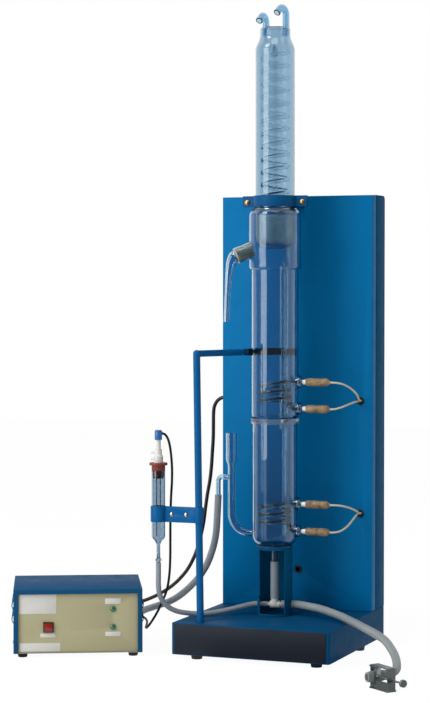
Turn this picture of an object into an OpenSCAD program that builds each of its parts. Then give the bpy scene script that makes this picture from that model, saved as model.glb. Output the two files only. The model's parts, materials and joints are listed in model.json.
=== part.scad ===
// Glass water distiller on a painted steel stand, with its heater controller.
// Millimetres. X runs along the stand's width, Y from its front to its back, Z up.
// The origin is the centre of the stand's footprint, on the surface it stands on.

/* [Stand] */
// Width of the base
base_w = 300; // [296:1:312]
// Depth of the base
base_d = 330; // [328:1:340]
// Height of the base housing
base_h = 57; // [56:0.5:57.5]
// Height of the rubber feet under the base
foot_h = 8; // [7:0.5:8]
// Thickness of the folded sheet steel
sheet = 2; // [1.5:0.25:2]
// Radius of the base's upright corners
base_corner_r = 6; // [3:1:8]

/* [Back panel] */
// Width of the back panel
panel_w = 298; // [294:1:300]
// Depth of the back panel box
panel_d = 78; // [76:1:80]
// Height of the top of the back panel above the table
panel_top = 840; // [838:1:860]
// Depth of the front tray of the panel box
tray_d = 24; // [20:1:28]
// Radius of the bend along the rear cover's top edge
cover_bend_r = 8; // [4:1:12]

/* [Glass column] */
// Outer radius of the lower boiler
lower_r = 41.5; // [40:0.5:42]
// Outer radius of the upper boiler
upper_r = 43.5; // [43:0.5:44]
// Outer radius of the upper boiler's head
head_r = 48; // [47:0.5:49]
// Wall of the boilers
glass_wall = 2.4; // [2:0.1:2.8]
// Outer radius of the condenser jacket
jacket_r = 36; // [35.5:0.1:36.2]
// Outer radius of the condenser's neck
neck_r = 27.5; // [27:0.5:28]

/* [Condenser coil] */
// Turns of the condenser coil
coil_turns = 14; // [10:1:14]
// Rise of the condenser coil in one turn
coil_pitch = 23; // [22:0.5:23]
// Outer diameter of the condenser coil
coil_od = 55; // [52:0.5:56]
// Diameter of the condenser coil's glass tube
coil_tube_d = 8; // [6:0.5:8.5]

/* [Heaters] */
// Turns of each heater coil
heater_turns = 2.5; // [2.5:0.5:2.5]
// Rise of a heater coil in one turn
heater_pitch = 13.5; // [12:0.5:14]
// Outer diameter of each heater coil
heater_od = 62; // [60:0.5:64]
// Diameter of the heater's quartz tube
heater_tube_d = 8; // [7:0.5:8]

/* [Upright] */
// Diameter of the upright rod
rod_d = 13; // [12:0.5:13]
// Lean of the upright rod to the left, in degrees
rod_lean = 0.85; // [0:0.05:1]

/* [Controller] */
// Width of the controller
ctrl_w = 233; // [230:1:240]
// Depth of the controller
ctrl_d = 191; // [186:1:196]
// Height of the controller's case
ctrl_h = 115.8; // [114:0.2:118]
// Turn of the controller from the stand, in degrees
ctrl_turn = 26; // [24:0.5:28]
// Travel of the push button
button_travel = 3; // [2:0.5:3]

/* [Pinch clip] */
// Length of the clip's frame
clip_len = 50; // [48:1:52]
// Height of the clip's frame
clip_h = 40; // [38:1:42]
// Opening travel of the clip's jaw
clip_travel = 10; // [6:1:12]

/* [Hidden] */
$fn = 64;
eps = 0.01;
column_x = -9;
column_y = -6;

// Heights above the table
base_top = foot_h + base_h;
pipe_top = 192;
seat_top = 193.6;
boiler_bottom = 191.8;
seam_z = 422;
vapour_x = 15.8;
vapour_r = 6.5;
head_z = 706;
head_top = 814;
strap_z = 816;
strap_h = 20;
jacket_shoulder_z = 1102;
neck_z = 1128;
jacket_top = 1143;
cradle_z = 549;

// Panel
panel_y = base_d / 2 - panel_d;
grommet_r = 7.5;
grommets = [[126, 457], [126, 247.5], [4, 138]];

// Support pipe
pipe_r = 32.5;
pipe_wall = 2;
tee_z = 84;
tee_turn = 14;

// Clamp and cradle
liner = 1.5;
clamp_in_r = jacket_r + liner;
clamp_wall = 2.5;
clamp_half_w = 62;
clamp_screw_x = 53.5;
clamp_screw_z = strap_z + 8;
cradle_in_r = upper_r + liner;
cradle_wall = 3;
cradle_h = 13;
cradle_from = 44;
cradle_to = 188;

// Upright rod, from its foot to the elbow and on to the cradle
rod_x = -103.5;
rod_y = -139;
elbow_x = rod_x - (cradle_z - base_top) * tan(rod_lean);
boss_x = column_x - cradle_in_r - 6;
boss_y = column_y - 9;

// Heater arms, on the column's +X side
arm_r = 12;
arm_len = 6;
sleeve_x = 52;
sleeve_len = 45;
sleeve_r = 7.2;
heater_arms = [[lower_r, 221, 271], [upper_r, 446, 495]];
lead_d = 3.5;

// Ground side joint, aimed down and to the front left
joint_turn = 212;
joint_fall = 22;
joint_z = 755;
joint_r = 13;
joint_gap = 0.06;
socket_r = 15.5;
socket_from = 38;
socket_to = 78;

// Constant-level device
level_x = -94.5;
level_r = 7;
level_cup_r = 10.5;
level_bend_r = 35;
level_in_z = 214;
level_cup_z = 349;
level_top = 398;
overflow_z = 316;
overflow_x = -121;
overflow_r = 4.7;

// Level sensor
sensor_x = -185.5;
sensor_y = -139;
sensor_r = 12.5;

// Controller
ctrl_x = -311.7;
ctrl_y = -213.2;
ctrl_foot_h = 7.2;
ctrl_sheet = 1.5;
ctrl_frame = 8.5;
ctrl_top = ctrl_foot_h + ctrl_h;
front_y = 4;
button_x = -53.4;
button_z = 54.4;
button_w = 15;
lamp_x = 63.2;
lamps = [53.8, 86.5];
louvre_r = 14;

// Pinch clip
clip_x = 290;
clip_y = -306;
clip_turn = -38;
clip_z = clip_h / 2;
clip_strip = 2;
clip_w = 16;
hose_pinch = 7;
clip_rod_r = 1.75;

// Hose and cable radii
sensor_hose_r = 4.75;
drain_hose_r = 7.25;
overflow_hose_r = 6.5;
sensor_cable_r = 2.25;
power_cable_r = 3.5;

// Routes of the hoses and cables, along their middles
sensor_hose_route = [
    [-185.5, -139, 169], [-185.5, -139, 150], [-186, -138, 130], [-186, -134, 113], [-182.5, -128, 98],
    [-174.5, -119, 85.5], [-163, -109, 77.5], [-151, -99, 73.5], [-138, -88, 71.2], [-124, -78, 70.3],
    [-109, -66, 70.8], [-94, -52, 73], [-80, -39, 76], [-66, -28, 79.5], [-54, -19, 82.5],
    [-44, -14.7, 84], [-33.3, -12.05, 84], [-21.6, -9.1, 84]
];
drain_hose_route = [
    [2.6, -3.1, 84], [17.2, 0.5, 84], [30, 1.6, 84.6], [46, -4, 84.5], [62, -12, 84], [84, -20, 82.5],
    [108, -35, 80], [132, -50, 76.7], [156, -72, 73.6], [179, -98, 72], [201, -122, 69.5],
    [227, -146, 65], [252, -170, 59], [273, -200, 50], [288, -226, 41], [297, -248, 32.5],
    [299.5, -262, 26.5], [294, -275, 22], [281, -285.4, 20], [274.63, -294, 20], [268.5, -301.9, 20],
    [262.9, -309.1, 20]
];
overflow_hose_route = [
    [-121, -6, 282], [-122, -6, 262], [-124, -4, 240], [-126.5, -1, 218], [-131.5, 4, 197],
    [-141, 11, 172], [-155, 20, 146], [-174.5, 30, 121], [-198, 40, 99], [-220, 48, 82],
    [-244, 55, 68], [-275, 65, 56], [-305, 78, 45], [-334, 96, 31], [-359, 115, 18],
    [-382, 134.5, 9], [-402, 150, 6.8]
];
sensor_cable_route = [
    [-178, -139, 404], [-173.5, -138, 402.5], [-169.5, -135, 396], [-167, -131, 384], [-165.5, -127, 364],
    [-165, -124, 340], [-166, -122, 315], [-168, -121, 290], [-169.5, -120, 262], [-170, -120, 235],
    [-170.5, -119, 205], [-171.5, -117, 178], [-174, -114, 150], [-179, -110, 125], [-186, -105, 107],
    [-195, -99, 91], [-206, -90, 75], [-218, -80, 60], [-231, -68, 46], [-243, -54, 36],
    [-254, -36, 30], [-264, -15, 28], [-272, 7, 29], [-280, 27, 31], [-290, 42, 34],
    [-303, 49, 37], [-316, 45, 39], [-323.5, 33, 40], [-324, 20, 40], [-320.1, 9.4, 40]
];
power_cable_route = [
    [-160, 140, 457], [-171, 140, 455], [-180, 140, 449], [-186, 140, 439], [-188, 140, 427],
    [-188, 139, 405], [-188, 138, 377], [-189, 136, 350], [-190.5, 135, 322], [-193, 133, 295],
    [-197, 130, 268], [-200, 127, 240], [-203, 125, 213], [-209, 122, 182], [-218, 118, 151],
    [-231, 114, 124], [-247, 110, 103.5], [-263, 106, 88.5], [-281, 101, 76], [-300, 96, 66],
    [-320, 91, 58], [-338, 84, 53], [-353, 73, 51], [-362, 59, 50], [-366, 43, 50],
    [-364.5, 26, 50], [-357.4, 6.2, 50]
];
overflow_coil_x = -446;
overflow_coil_y = 75;
overflow_coil_start_r = 86;
overflow_coil_step = 14;
overflow_coil_from = 60;
overflow_coil_turns = 1.6;

// Leads from each heater's ceramic sleeves to its grommet
upper_leads = [
    [[97, -6, 495], [108, -5, 494.5], [119, 2, 492], [128, 20, 484], [132, 45, 472], [128.5, 70, 461], [127.9, 82, 458], [127.9, 92, 458]],
    [[97, -6, 446], [108, -4, 447], [117, 6, 450], [123, 25, 454], [125, 50, 456.5], [124.2, 72, 457], [124.1, 82, 457], [124.1, 92, 457]]
];
lower_leads = [
    [[97, -6, 271], [108, -5, 271], [119, 2, 269.5], [129, 20, 264], [133, 45, 256], [129, 70, 249.5], [127.9, 82, 248.5], [127.9, 92, 248.5]],
    [[97, -6, 221], [108, -4, 221.5], [117, 6, 224.5], [123, 25, 232], [125, 50, 241.5], [124.2, 72, 246.8], [124.1, 82, 247.5], [124.1, 92, 247.5]]
];

// Spout beyond its ground cone: distance from the column, height and outer radius
spout_line = [
    [74, 725.1, 11.6], [77.2, 722.4, 11.2], [80, 717.5, 10.2], [82.8, 710, 8.9], [85, 700, 7.4],
    [86.6, 688, 6.4], [88, 672, 5.6], [89, 655, 5.2]
];
spout_end = [91, 605];
spout_r = 5.2;

// --- Functions for swept tubes and coils ---

function unit(v) = v / norm(v);

function tangents(p) = [
    for (i = [0:len(p) - 1]) unit(p[min(i + 1, len(p) - 1)] - p[max(i - 1, 0)])
];

function across(t) = unit(cross(t, abs(t[2]) > 0.8 ? [1, 0, 0] : [0, 0, 1]));

// Normals that turn as little as they can along the path
function normals(t) = [
    for (i = 0, n = across(t[0]); i < len(t);
         n = i + 1 < len(t) ? unit(n - (n * t[i + 1]) * t[i + 1]) : n, i = i + 1) n
];

function ring(centre, n, b, r, sides) = [
    for (k = [0:sides - 1]) centre + r * (cos(360 * k / sides) * n + sin(360 * k / sides) * b)
];

function tube_points(p, r, sides) =
    let (t = tangents(p), n = normals(t))
    [for (i = [0:len(p) - 1]) each ring(p[i], n[i], cross(t[i], n[i]), r[i], sides)];

function tube_faces(rings, sides) = [
    for (k = [1:sides - 2]) [0, k, k + 1],
    for (i = [0:rings - 2], k = [0:sides - 1])
        each let (a = i * sides + k, b = i * sides + (k + 1) % sides)
            [[a, a + sides, b + sides], [a, b + sides, b]],
    for (k = [1:sides - 2])
        [(rings - 1) * sides, (rings - 1) * sides + k + 1, (rings - 1) * sides + k]
];

function same(value, count) = [for (i = [1:count]) value];

// Smallest gap between points of one tube that lie more than `skip` points apart
function least_gap(p, d, skip) = min([
    for (i = [0:len(p) - 1], j = [i + skip:1:len(p) - 1]) norm(p[i] - p[j])
]) - d;

module swept(p, r, sides) {
    polyhedron(points = tube_points(p, r, sides), faces = tube_faces(len(p), sides), convexity = 10);
}

module cord(p, r, sides = 8) swept(p, same(r, len(p)), sides);

// --- Shared shapes ---

module rounded_plate(w, d, r, h) {
    linear_extrude(h) union() {
        square([w - 2 * r, d], center = true);
        square([w, d - 2 * r], center = true);
        for (sx = [-1, 1], sy = [-1, 1])
            translate([sx * (w / 2 - r), sy * (d / 2 - r)]) circle(r);
    }
}

module ring_tube(r_out, r_in, h) {
    difference() {
        cylinder(r = r_out, h = h);
        translate([0, 0, -1]) cylinder(r = r_in, h = h + 2);
    }
}

module pan_screw(r, head_r, head_h, length) {
    translate([0, 0, -length]) cylinder(r = r, h = length + eps);
    difference() {
        intersection() {
            cylinder(r = head_r, h = head_h);
            translate([0, 0, head_h - 1.6 * head_r]) sphere(1.6 * head_r);
        }
        translate([-head_r, -0.5, head_h - 0.9]) cube([2 * head_r, 1, 2]);
    }
}

// A bent tube in the XZ plane, round the origin, from angle `from` to `to`
module bent_tube(bend_r, r_out, r_in, from, to) {
    rotate([90, 0, 0]) rotate([0, 0, from]) rotate_extrude(angle = to - from)
        translate([bend_r, 0]) difference() {
            circle(r_out);
            circle(r_in);
        }
}

module hex_nut(r_bore, across_flats, h) {
    difference() {
        cylinder(r = across_flats / sqrt(3), h = h, $fn = 6);
        translate([0, 0, -1]) cylinder(r = r_bore, h = h + 2);
    }
}

module on_column() translate([column_x, column_y, 0]) children();

module at_controller() translate([ctrl_x, ctrl_y, 0]) rotate([0, 0, ctrl_turn]) children();

// Clip frame: X along the clip's screw, Y along the hose, Z up
module at_clip() translate([clip_x, clip_y, clip_z]) rotate([0, 0, clip_turn]) children();

// Side joint frame: Z runs outwards along the ground joint
module at_joint()
    translate([column_x, column_y, joint_z])
        rotate([0, 0, joint_turn]) rotate([0, 90 + joint_fall, 0]) children();

// --- Stand ---

foot_at = [[-107, -147], [120, -147], [-130, 44], [138, 44], [-120, 140], [120, 140]];

module base_housing() {
    color([0.0, 0.38, 0.62]) difference() {
        translate([0, 0, foot_h]) rounded_plate(base_w, base_d, base_corner_r, base_h);
        translate([0, 0, foot_h - 1])
            rounded_plate(base_w - 2 * sheet, base_d - 2 * sheet, base_corner_r - sheet, base_h + 1 - sheet);
        translate([rod_x, rod_y, base_top - 5]) cylinder(r = 4.2, h = 10);
        on_column() translate([0, 0, base_top - 5]) cylinder(r = 8, h = 10);
    }
}

module base_nameplate() {
    color([0.12, 0.15, 0.2])
        translate([0, -base_d / 2 - 0.8, foot_h + base_h / 2]) rotate([-90, 0, 0])
            rounded_plate(base_w - 12, base_h - 3, 2, 0.8);
}

module base_bottom_plate() {
    color([0.05, 0.16, 0.28]) difference() {
        translate([0, 0, foot_h])
            rounded_plate(base_w - 2 * sheet - 0.4, base_d - 2 * sheet - 0.4, base_corner_r - sheet, sheet);
        for (p = foot_at) translate([p[0], p[1], 0]) cylinder(r = 2.6, h = 20);
    }
}

module base_feet() {
    color([0.08, 0.08, 0.09]) for (p = foot_at) translate([p[0], p[1], 0]) difference() {
        cylinder(r1 = 9.5, r2 = 11, h = foot_h);
        translate([0, 0, 3]) cylinder(r = 2.6, h = 20);
        translate([0, 0, -1]) cylinder(r = 5.5, h = 4);
    }
}

module foot_screws() {
    color([0.7, 0.7, 0.68]) for (p = foot_at) translate([p[0], p[1], 3]) rotate([180, 0, 0])
        pan_screw(2.5, 4.6, 2, 9);
}

module back_panel() {
    color([0.0, 0.42, 0.66]) difference() {
        translate([-panel_w / 2 + 0.5, panel_y, base_top])
            cube([panel_w - 1, tray_d, panel_top - 1 - base_top]);
        translate([-panel_w / 2 + 0.5 + sheet, panel_y + sheet, base_top + sheet])
            cube([panel_w - 1 - 2 * sheet, tray_d, panel_top - 1 - base_top - 2 * sheet]);
        for (g = grommets) translate([g[0], panel_y - 1, g[1]]) rotate([-90, 0, 0]) cylinder(r = 5, h = 5);
        for (sx = [-1, 1]) translate([column_x + 15 * sx, panel_y - 1, strap_z + strap_h / 2])
            rotate([-90, 0, 0]) cylinder(r = 2.6, h = 5);
    }
}

module cover_profile(inset) {
    top = panel_top - inset;
    rear = base_d / 2 - inset;
    front = panel_y + tray_d;
    bend = cover_bend_r - inset;
    union() {
        translate([front, base_top + inset]) square([rear - front, top - bend - base_top - inset]);
        translate([front, base_top + inset]) square([rear - front - bend, top - base_top - inset]);
        translate([rear - bend, top - bend]) circle(bend);
    }
}

cover_screw_z = [100, 300, 500, 700, 815];

module rear_cover() {
    color([0.0, 0.33, 0.55]) difference() {
        translate([-panel_w / 2, 0, 0]) rotate([90, 0, 90]) linear_extrude(panel_w) cover_profile(0);
        translate([-panel_w / 2 + sheet, -eps, 0]) rotate([90, 0, 90])
            linear_extrude(panel_w - 2 * sheet) union() {
                cover_profile(sheet);
                translate([panel_y + tray_d - 1, base_top + sheet]) square([10, panel_top - base_top - 2 * sheet]);
            }
        translate([-panel_w / 2 - 1, 140, 457]) rotate([0, 90, 0]) cylinder(r = 6, h = 5);
        for (z = cover_screw_z, sx = [-1, 1]) translate([sx * 120, base_d / 2 - 5, z])
            rotate([-90, 0, 0]) cylinder(r = 2.1, h = 10);
        for (i = [0:5]) translate([-45, base_d / 2 - 5, 600 + 14 * i]) cube([90, 10, 5]);
    }
}

module cover_screws() {
    color([0.75, 0.75, 0.74]) {
        for (z = cover_screw_z, sx = [-1, 1]) translate([sx * 120, base_d / 2, z])
            rotate([-90, 0, 0]) pan_screw(2, 3.8, 2, 7);
        at_controller() for (y = [45, 150], sx = [-1, 1])
            translate([sx * ctrl_w / 2, y, 22]) rotate([0, 90 * sx, 0]) pan_screw(2, 3.8, 2, 5);
    }
}

module panel_grommets() {
    color([0.05, 0.05, 0.06]) for (g = grommets) translate([g[0], panel_y, g[1]]) rotate([-90, 0, 0])
        difference() {
            union() {
                translate([0, 0, -2.2]) cylinder(r1 = grommet_r - 1, r2 = grommet_r, h = 2.2);
                cylinder(r = 5, h = sheet);
                translate([0, 0, sheet]) cylinder(r = grommet_r, h = 2);
            }
            translate([0, 0, -5]) cylinder(r = 3.9, h = 10);
        }
}

// --- Upright, cradle and clamp ---

module upright_rod() {
    foot = [rod_x, rod_y, base_top];
    elbow = [elbow_x, rod_y, cradle_z];
    end = [boss_x, boss_y, cradle_z];
    reach = norm(end - elbow);
    color([0.0, 0.37, 0.62]) {
        difference() {
            translate(foot) rotate([0, -rod_lean, 0]) translate([0, 0, -5])
                cylinder(d = rod_d, h = norm(elbow - foot) + 5);
            translate([rod_x - 20, rod_y - 20, base_top - 20]) cube([40, 40, 20]);
        }
        translate([rod_x, rod_y, base_top - sheet - 11]) cylinder(r = 4, h = 16);
        translate(elbow) sphere(d = rod_d + 0.4);
        translate(elbow) rotate([0, 0, atan2(end[1] - elbow[1], end[0] - elbow[0])]) rotate([0, 90, 0]) {
            cylinder(d = rod_d - 1, h = reach - 18);
            cylinder(r = 3, h = reach);
        }
    }
}

module upright_fixings() {
    color([0.72, 0.72, 0.7]) {
        translate([rod_x, rod_y, base_top - sheet - 1.4]) ring_tube(8.5, 4.1, 1.4);
        translate([rod_x, rod_y, base_top - sheet - 8]) hex_nut(4, 13, 6.5);
    }
}

module arc_band(r_in, wall, h, from, to) {
    translate([0, 0, -h / 2]) rotate([0, 0, from]) rotate_extrude(angle = to - from)
        translate([r_in, 0]) square([wall, h]);
}

module cradle_ring() {
    color([0.02, 0.2, 0.36]) difference() {
        union() {
            on_column() translate([0, 0, cradle_z]) arc_band(cradle_in_r, cradle_wall, cradle_h, cradle_from, cradle_to);
            difference() {
                translate([boss_x, boss_y, cradle_z]) cube([12, 14, cradle_h - 0.6], center = true);
                on_column() cylinder(r = cradle_in_r + 1, h = 2 * cradle_z);
            }
        }
        translate([boss_x, boss_y, cradle_z]) rotate([0, 0, atan2(boss_y - rod_y, boss_x - elbow_x)])
            rotate([0, 90, 0]) translate([0, 0, -20]) cylinder(r = 3.05, h = 21);
    }
}

module clamp_half(side) {
    difference() {
        union() {
            arc_band(clamp_in_r, clamp_wall, strap_h, side > 0 ? 1 : 181, side > 0 ? 179 : 359);
            for (sx = [-1, 1]) translate([sx * (clamp_half_w + clamp_in_r) / 2, side * 2, 0])
                cube([clamp_half_w - clamp_in_r, clamp_wall, strap_h], center = true);
        }
        cylinder(r = clamp_in_r, h = 2 * strap_h, center = true);
        for (sx = [-1, 1]) translate([sx * clamp_screw_x, 0, clamp_screw_z - strap_z - strap_h / 2])
            rotate([90, 0, 0]) cylinder(r = 2.6, h = 20, center = true);
    }
}

module clamp_bracket() {
    post = panel_y - 4 - column_y;
    color([0.0, 0.33, 0.55]) on_column() translate([0, 0, strap_z + strap_h / 2]) {
        clamp_half(1);
        difference() {
            rotate([-90, 0, 0]) cylinder(r = 8, h = post);
            cylinder(r = clamp_in_r + 1, h = 40, center = true);
        }
        translate([0, post, 0]) rotate([-90, 0, 0]) difference() {
            translate([0, 0, 2]) cube([48, strap_h - 2, 4], center = true);
            for (sx = [-1, 1]) translate([15 * sx, 0, -1]) cylinder(r = 2.6, h = 6);
        }
    }
}

module clamp_strap() {
    color([0.0, 0.41, 0.68]) on_column() translate([0, 0, strap_z + strap_h / 2]) clamp_half(-1);
}

module clamp_screws() {
    color([0.78, 0.62, 0.42]) on_column() {
        for (sx = [-1, 1]) translate([sx * clamp_screw_x, -3.25, clamp_screw_z]) rotate([90, 0, 0])
            pan_screw(2.5, 5, 3, 13);
        for (sx = [-1, 1]) translate([sx * 15, panel_y - column_y - 4, strap_z + strap_h / 2])
            rotate([90, 0, 0]) pan_screw(2.5, 5, 3, 12);
    }
}

module glass_liners() {
    color([0.75, 0.72, 0.66]) on_column() {
        translate([0, 0, strap_z + 0.5]) ring_tube(clamp_in_r, jacket_r, strap_h - 1);
        translate([0, 0, cradle_z]) arc_band(upper_r, liner, cradle_h - 1, cradle_from, cradle_to);
        translate([0, 0, pipe_top]) ring_tube(pipe_r, pipe_r - pipe_wall, seat_top - pipe_top);
    }
}

module support_pipe() {
    color([0.0, 0.3, 0.52]) on_column() difference() {
        translate([0, 0, base_top]) rotate([0, 0, 100]) ring_tube(pipe_r, pipe_r - pipe_wall, pipe_top - base_top);
        // window to the front, wider above the low left wall
        translate([0, 0, base_top + 4]) rotate([0, 0, 227]) rotate_extrude(angle = 97)
            translate([20, 0]) square([pipe_r - 15, 117]);
        translate([0, 0, base_top + 32]) rotate([0, 0, 174]) rotate_extrude(angle = 60)
            translate([20, 0]) square([pipe_r - 14, 88.6]);
        // holes for the two hoses
        translate([0, 0, tee_z]) rotate([0, 0, tee_turn]) {
            rotate([0, -90, 0]) cylinder(r = 7, h = 50);
            rotate([0, 90, 0]) cylinder(r = 9, h = 50);
        }
    }
}

// --- Glass ---

// Points of an arc, for the outline of a revolved vessel
function arc(cx, cz, r, from, to, steps = 8) = [
    for (i = [0:steps]) let (a = from + (to - from) * i / steps) [cx + r * cos(a), cz + r * sin(a)]
];

module vessel_solid(outline) {
    rotate_extrude() polygon(outline);
}

function lower_outline(w) = [
    each [[0, boiler_bottom + w]],
    each arc(lower_r - 20, boiler_bottom + 20, 20 - w, -90, 0),
    each [[lower_r - w, seam_z + 1], [0, seam_z + 1]]
];

function upper_outline(w) = [
    each [[0, seam_z + 5 + w]],
    each arc(upper_r - 8, seam_z + 13, 8 - w, -90, 0, 5),
    each [[upper_r - w, head_z - 6]],
    each arc(head_r - 6, head_z, 6 - w, -50, 0, 3),
    each [[head_r - w, head_top - 14]],
    each arc(head_r - 12, head_top - 14, 12 - w, 0, 60, 4)
];

module side_arm(r, z, bore) {
    shift = bore ? -glass_wall : 0;
    translate([0, 0, z]) rotate([0, 90, 0]) {
        translate([0, 0, r - 12]) cylinder(r = arm_r + shift, h = arm_len + 12 + shift);
        translate([0, 0, r + arm_len + shift - eps]) cylinder(r1 = arm_r + shift, r2 = heater_tube_d / 2 + (bore ? 0 : 1.2), h = 4);
        if (bore) translate([0, 0, r]) cylinder(d = heater_tube_d, h = 20);
    }
}

module lower_boiler() {
    color([0.75, 0.85, 0.9, 0.4]) on_column() difference() {
        union() {
            vessel_solid([for (p = lower_outline(0)) [p[0], min(p[1], seam_z)]]);
            translate([0, 0, seam_z - 4]) cylinder(r = lower_r + 3, h = 4);
            translate([0, 0, 166]) cylinder(r = 7, h = 30);
            translate([0, 0, 148]) cylinder(r = 5.4, h = 20);
            for (z = [heater_arms[0][1], heater_arms[0][2]]) side_arm(lower_r, z, false);
            translate([0, 0, level_in_z]) rotate([0, -90, 0]) cylinder(r = level_r, h = lower_r + 6);
        }
        vessel_solid(lower_outline(glass_wall));
        translate([0, 0, 147]) cylinder(r = 3.6, h = 60);
        for (z = [heater_arms[0][1], heater_arms[0][2]]) side_arm(lower_r, z, true);
        translate([0, 0, level_in_z]) rotate([0, -90, 0]) cylinder(r = level_r - 1.6, h = lower_r + 7);
    }
}

module upper_boiler() {
    color([0.75, 0.85, 0.9, 0.4]) difference() {
        union() {
            on_column() {
                vessel_solid([each upper_outline(0), [jacket_r + 2.6, head_top], [0, head_top]]);
                translate([0, 0, seam_z]) cylinder(r = lower_r + 3, h = 6);
                for (z = [heater_arms[1][1], heater_arms[1][2]]) side_arm(upper_r, z, false);
            }
            at_joint() translate([0, 0, socket_from]) cylinder(r = socket_r, h = socket_to - socket_from);
        }
        on_column() {
            vessel_solid([each upper_outline(glass_wall), [jacket_r + 0.15, head_top - 4], [0, head_top - 4]]);
            translate([0, 0, head_top - 5]) cylinder(r = jacket_r + 0.15, h = 10);
            for (z = [heater_arms[1][1], heater_arms[1][2]]) side_arm(upper_r, z, true);
            translate([vapour_x, 0, seam_z - 5]) cylinder(r = vapour_r + 0.1, h = 20);
        }
        at_joint() translate([0, 0, socket_from - 1]) cylinder(r = joint_r + joint_gap, h = 60);
    }
}

module vapour_tube() {
    color([0.78, 0.87, 0.92, 0.4]) on_column() translate([vapour_x, 0, seam_z - 14])
        ring_tube(vapour_r, vapour_r - 1.5, 707 - seam_z + 14);
}

function jacket_outline(w) = [
    each [[0, 738 + w]],
    each arc(jacket_r - 24, 762, 24 - w, -90, 0),
    each [[jacket_r - w, jacket_shoulder_z]],
    each [for (i = [1:6]) let (s = i / 6, blend = s * s * (3 - 2 * s))
        [jacket_r - w - (jacket_r - neck_r) * blend, jacket_shoulder_z + (neck_z - jacket_shoulder_z) * s]],
    each [[neck_r - w, jacket_top - 4]],
    each arc(neck_r - 4, jacket_top - 4, 4 - w, 0, 90, 4),
    each [[0, jacket_top - w]]
];

nozzle_r = 6.5;
nozzle_side = 21.5;
nozzle_bend_r = 12;
nozzle_sweep = 130;
nozzle_tail = 12;
// Distance from the axis, height where the bend starts, and direction of the bend
nozzles = [[-17, 1151, -95], [19.5, 1166, -105]];

// Foot of a water nozzle, on the neck's top
module at_nozzle(n) on_column() rotate([0, 0, nozzle_side]) translate([n[0], 0, 0])
    rotate([0, 0, n[2] - nozzle_side]) children();

module condenser_jacket() {
    color([0.72, 0.83, 0.9, 0.4]) difference() {
        on_column() vessel_solid(jacket_outline(0));
        on_column() vessel_solid(jacket_outline(2));
        for (n = nozzles) at_nozzle(n) translate([0, 0, neck_z]) cylinder(r = nozzle_r + 0.1, h = 30);
    }
}

module water_nozzles() {
    bore = nozzle_r - 1.8;
    color([0.55, 0.75, 0.9, 0.4]) for (n = nozzles) at_nozzle(n) {
        translate([0, 0, neck_z]) ring_tube(nozzle_r + 0.05, bore - 0.05, n[1] - neck_z + 0.02);
        translate([nozzle_bend_r, 0, n[1]]) {
            bent_tube(nozzle_bend_r, nozzle_r, bore, 180 - nozzle_sweep, 180);
            rotate([0, nozzle_sweep - 90, 0]) translate([0, 0, nozzle_bend_r])
                rotate([0, 90, 0]) vessel_solid([
                    [bore, 0], [nozzle_r, 0], [nozzle_r, nozzle_tail],
                    [nozzle_r - 0.6, nozzle_tail + 0.6], [bore, nozzle_tail + 0.6]
                ]);
        }
    }
}

coil_r = (coil_od - coil_tube_d) / 2;
coil_low = 776;
coil_steps = 24;
coil_points = [
    [19.5, 0, neck_z - 1], [19.7, 0, neck_z - 9], [20.5, 0.5, neck_z - 17], [coil_r - 1, 2, neck_z - 25],
    for (i = [0:coil_turns * coil_steps]) let (a = -360 * i / coil_steps, z = 1098 - coil_pitch * i / coil_steps)
        [coil_r * cos(a + 12), coil_r * sin(a + 12), z],
    [coil_r * 0.9, -coil_r * 0.2, 1098 - coil_pitch * coil_turns - 6],
    [coil_r * 0.55, -coil_r * 0.25, 1098 - coil_pitch * coil_turns - 10],
    [5, -4, 1098 - coil_pitch * coil_turns - 9],
    [0, 0, 1098 - coil_pitch * coil_turns - 1],
    [0, 0, 1098 - coil_pitch * coil_turns + 10],
    [0, 0, 1086], [-2, 0, 1098], [-9, 0, 1110], [-15, 0, 1118], [-17, 0, neck_z - 1]
];

module condenser_coil() {
    color([0.82, 0.88, 0.93, 0.5]) on_column() rotate([0, 0, nozzle_side])
        cord(coil_points, coil_tube_d / 2, 6);
}
echo(str("condenser coil least gap ", least_gap(coil_points, coil_tube_d, 20)));

// Point of the spout's plane, from the column outwards and up
function spout_point(q) = [q[0], 0, q[1]];

// The spout's straight lower leg, which slants out a little
module spout_leg(r, past) {
    top = spout_line[len(spout_line) - 1];
    reach = norm([top[0], top[1]] - spout_end);
    translate([spout_end[0], 0, spout_end[1]]) rotate([0, -asin((spout_end[0] - top[0]) / reach), 0])
        translate([0, 0, -past]) cylinder(r = r, h = reach + past + 0.5);
}

module delivery_spout() {
    path = [for (q = spout_line) spout_point(q)];
    outer = [for (q = spout_line) q[2]];
    color([0.8, 0.86, 0.9, 0.45]) difference() {
        union() {
            at_joint() translate([0, 0, socket_from + 8]) cylinder(r = joint_r, h = socket_to - socket_from - 8 + 2);
            on_column() rotate([0, 0, joint_turn]) {
                swept(path, outer, 24);
                spout_leg(spout_r, 0);
            }
        }
        at_joint() translate([0, 0, socket_from + 7]) cylinder(r = joint_r - 1.8, h = socket_to - socket_from - 7);
        on_column() rotate([0, 0, joint_turn]) {
            swept(path, [for (r = outer) r - 1.3], 24);
            spout_leg(spout_r - 1.3, 1);
        }
    }
}

// The level device's upright tube, its cup and the overflow's arm
module level_upright(r, cup_r, arm_r, past) {
    foot = level_in_z + level_bend_r;
    translate([0, 0, foot - past]) cylinder(r = r, h = 338 - foot + past);
    translate([0, 0, 338 - eps]) cylinder(r1 = r, r2 = cup_r, h = level_cup_z - 338 + eps);
    translate([0, 0, level_cup_z - eps]) cylinder(r = cup_r, h = level_top - level_cup_z + past + eps);
    translate([0, 0, overflow_z]) rotate([0, -90, 0])
        cylinder(r = arm_r, h = level_x - overflow_x - overflow_bend_r + past);
}

overflow_bend_r = 8;

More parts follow.
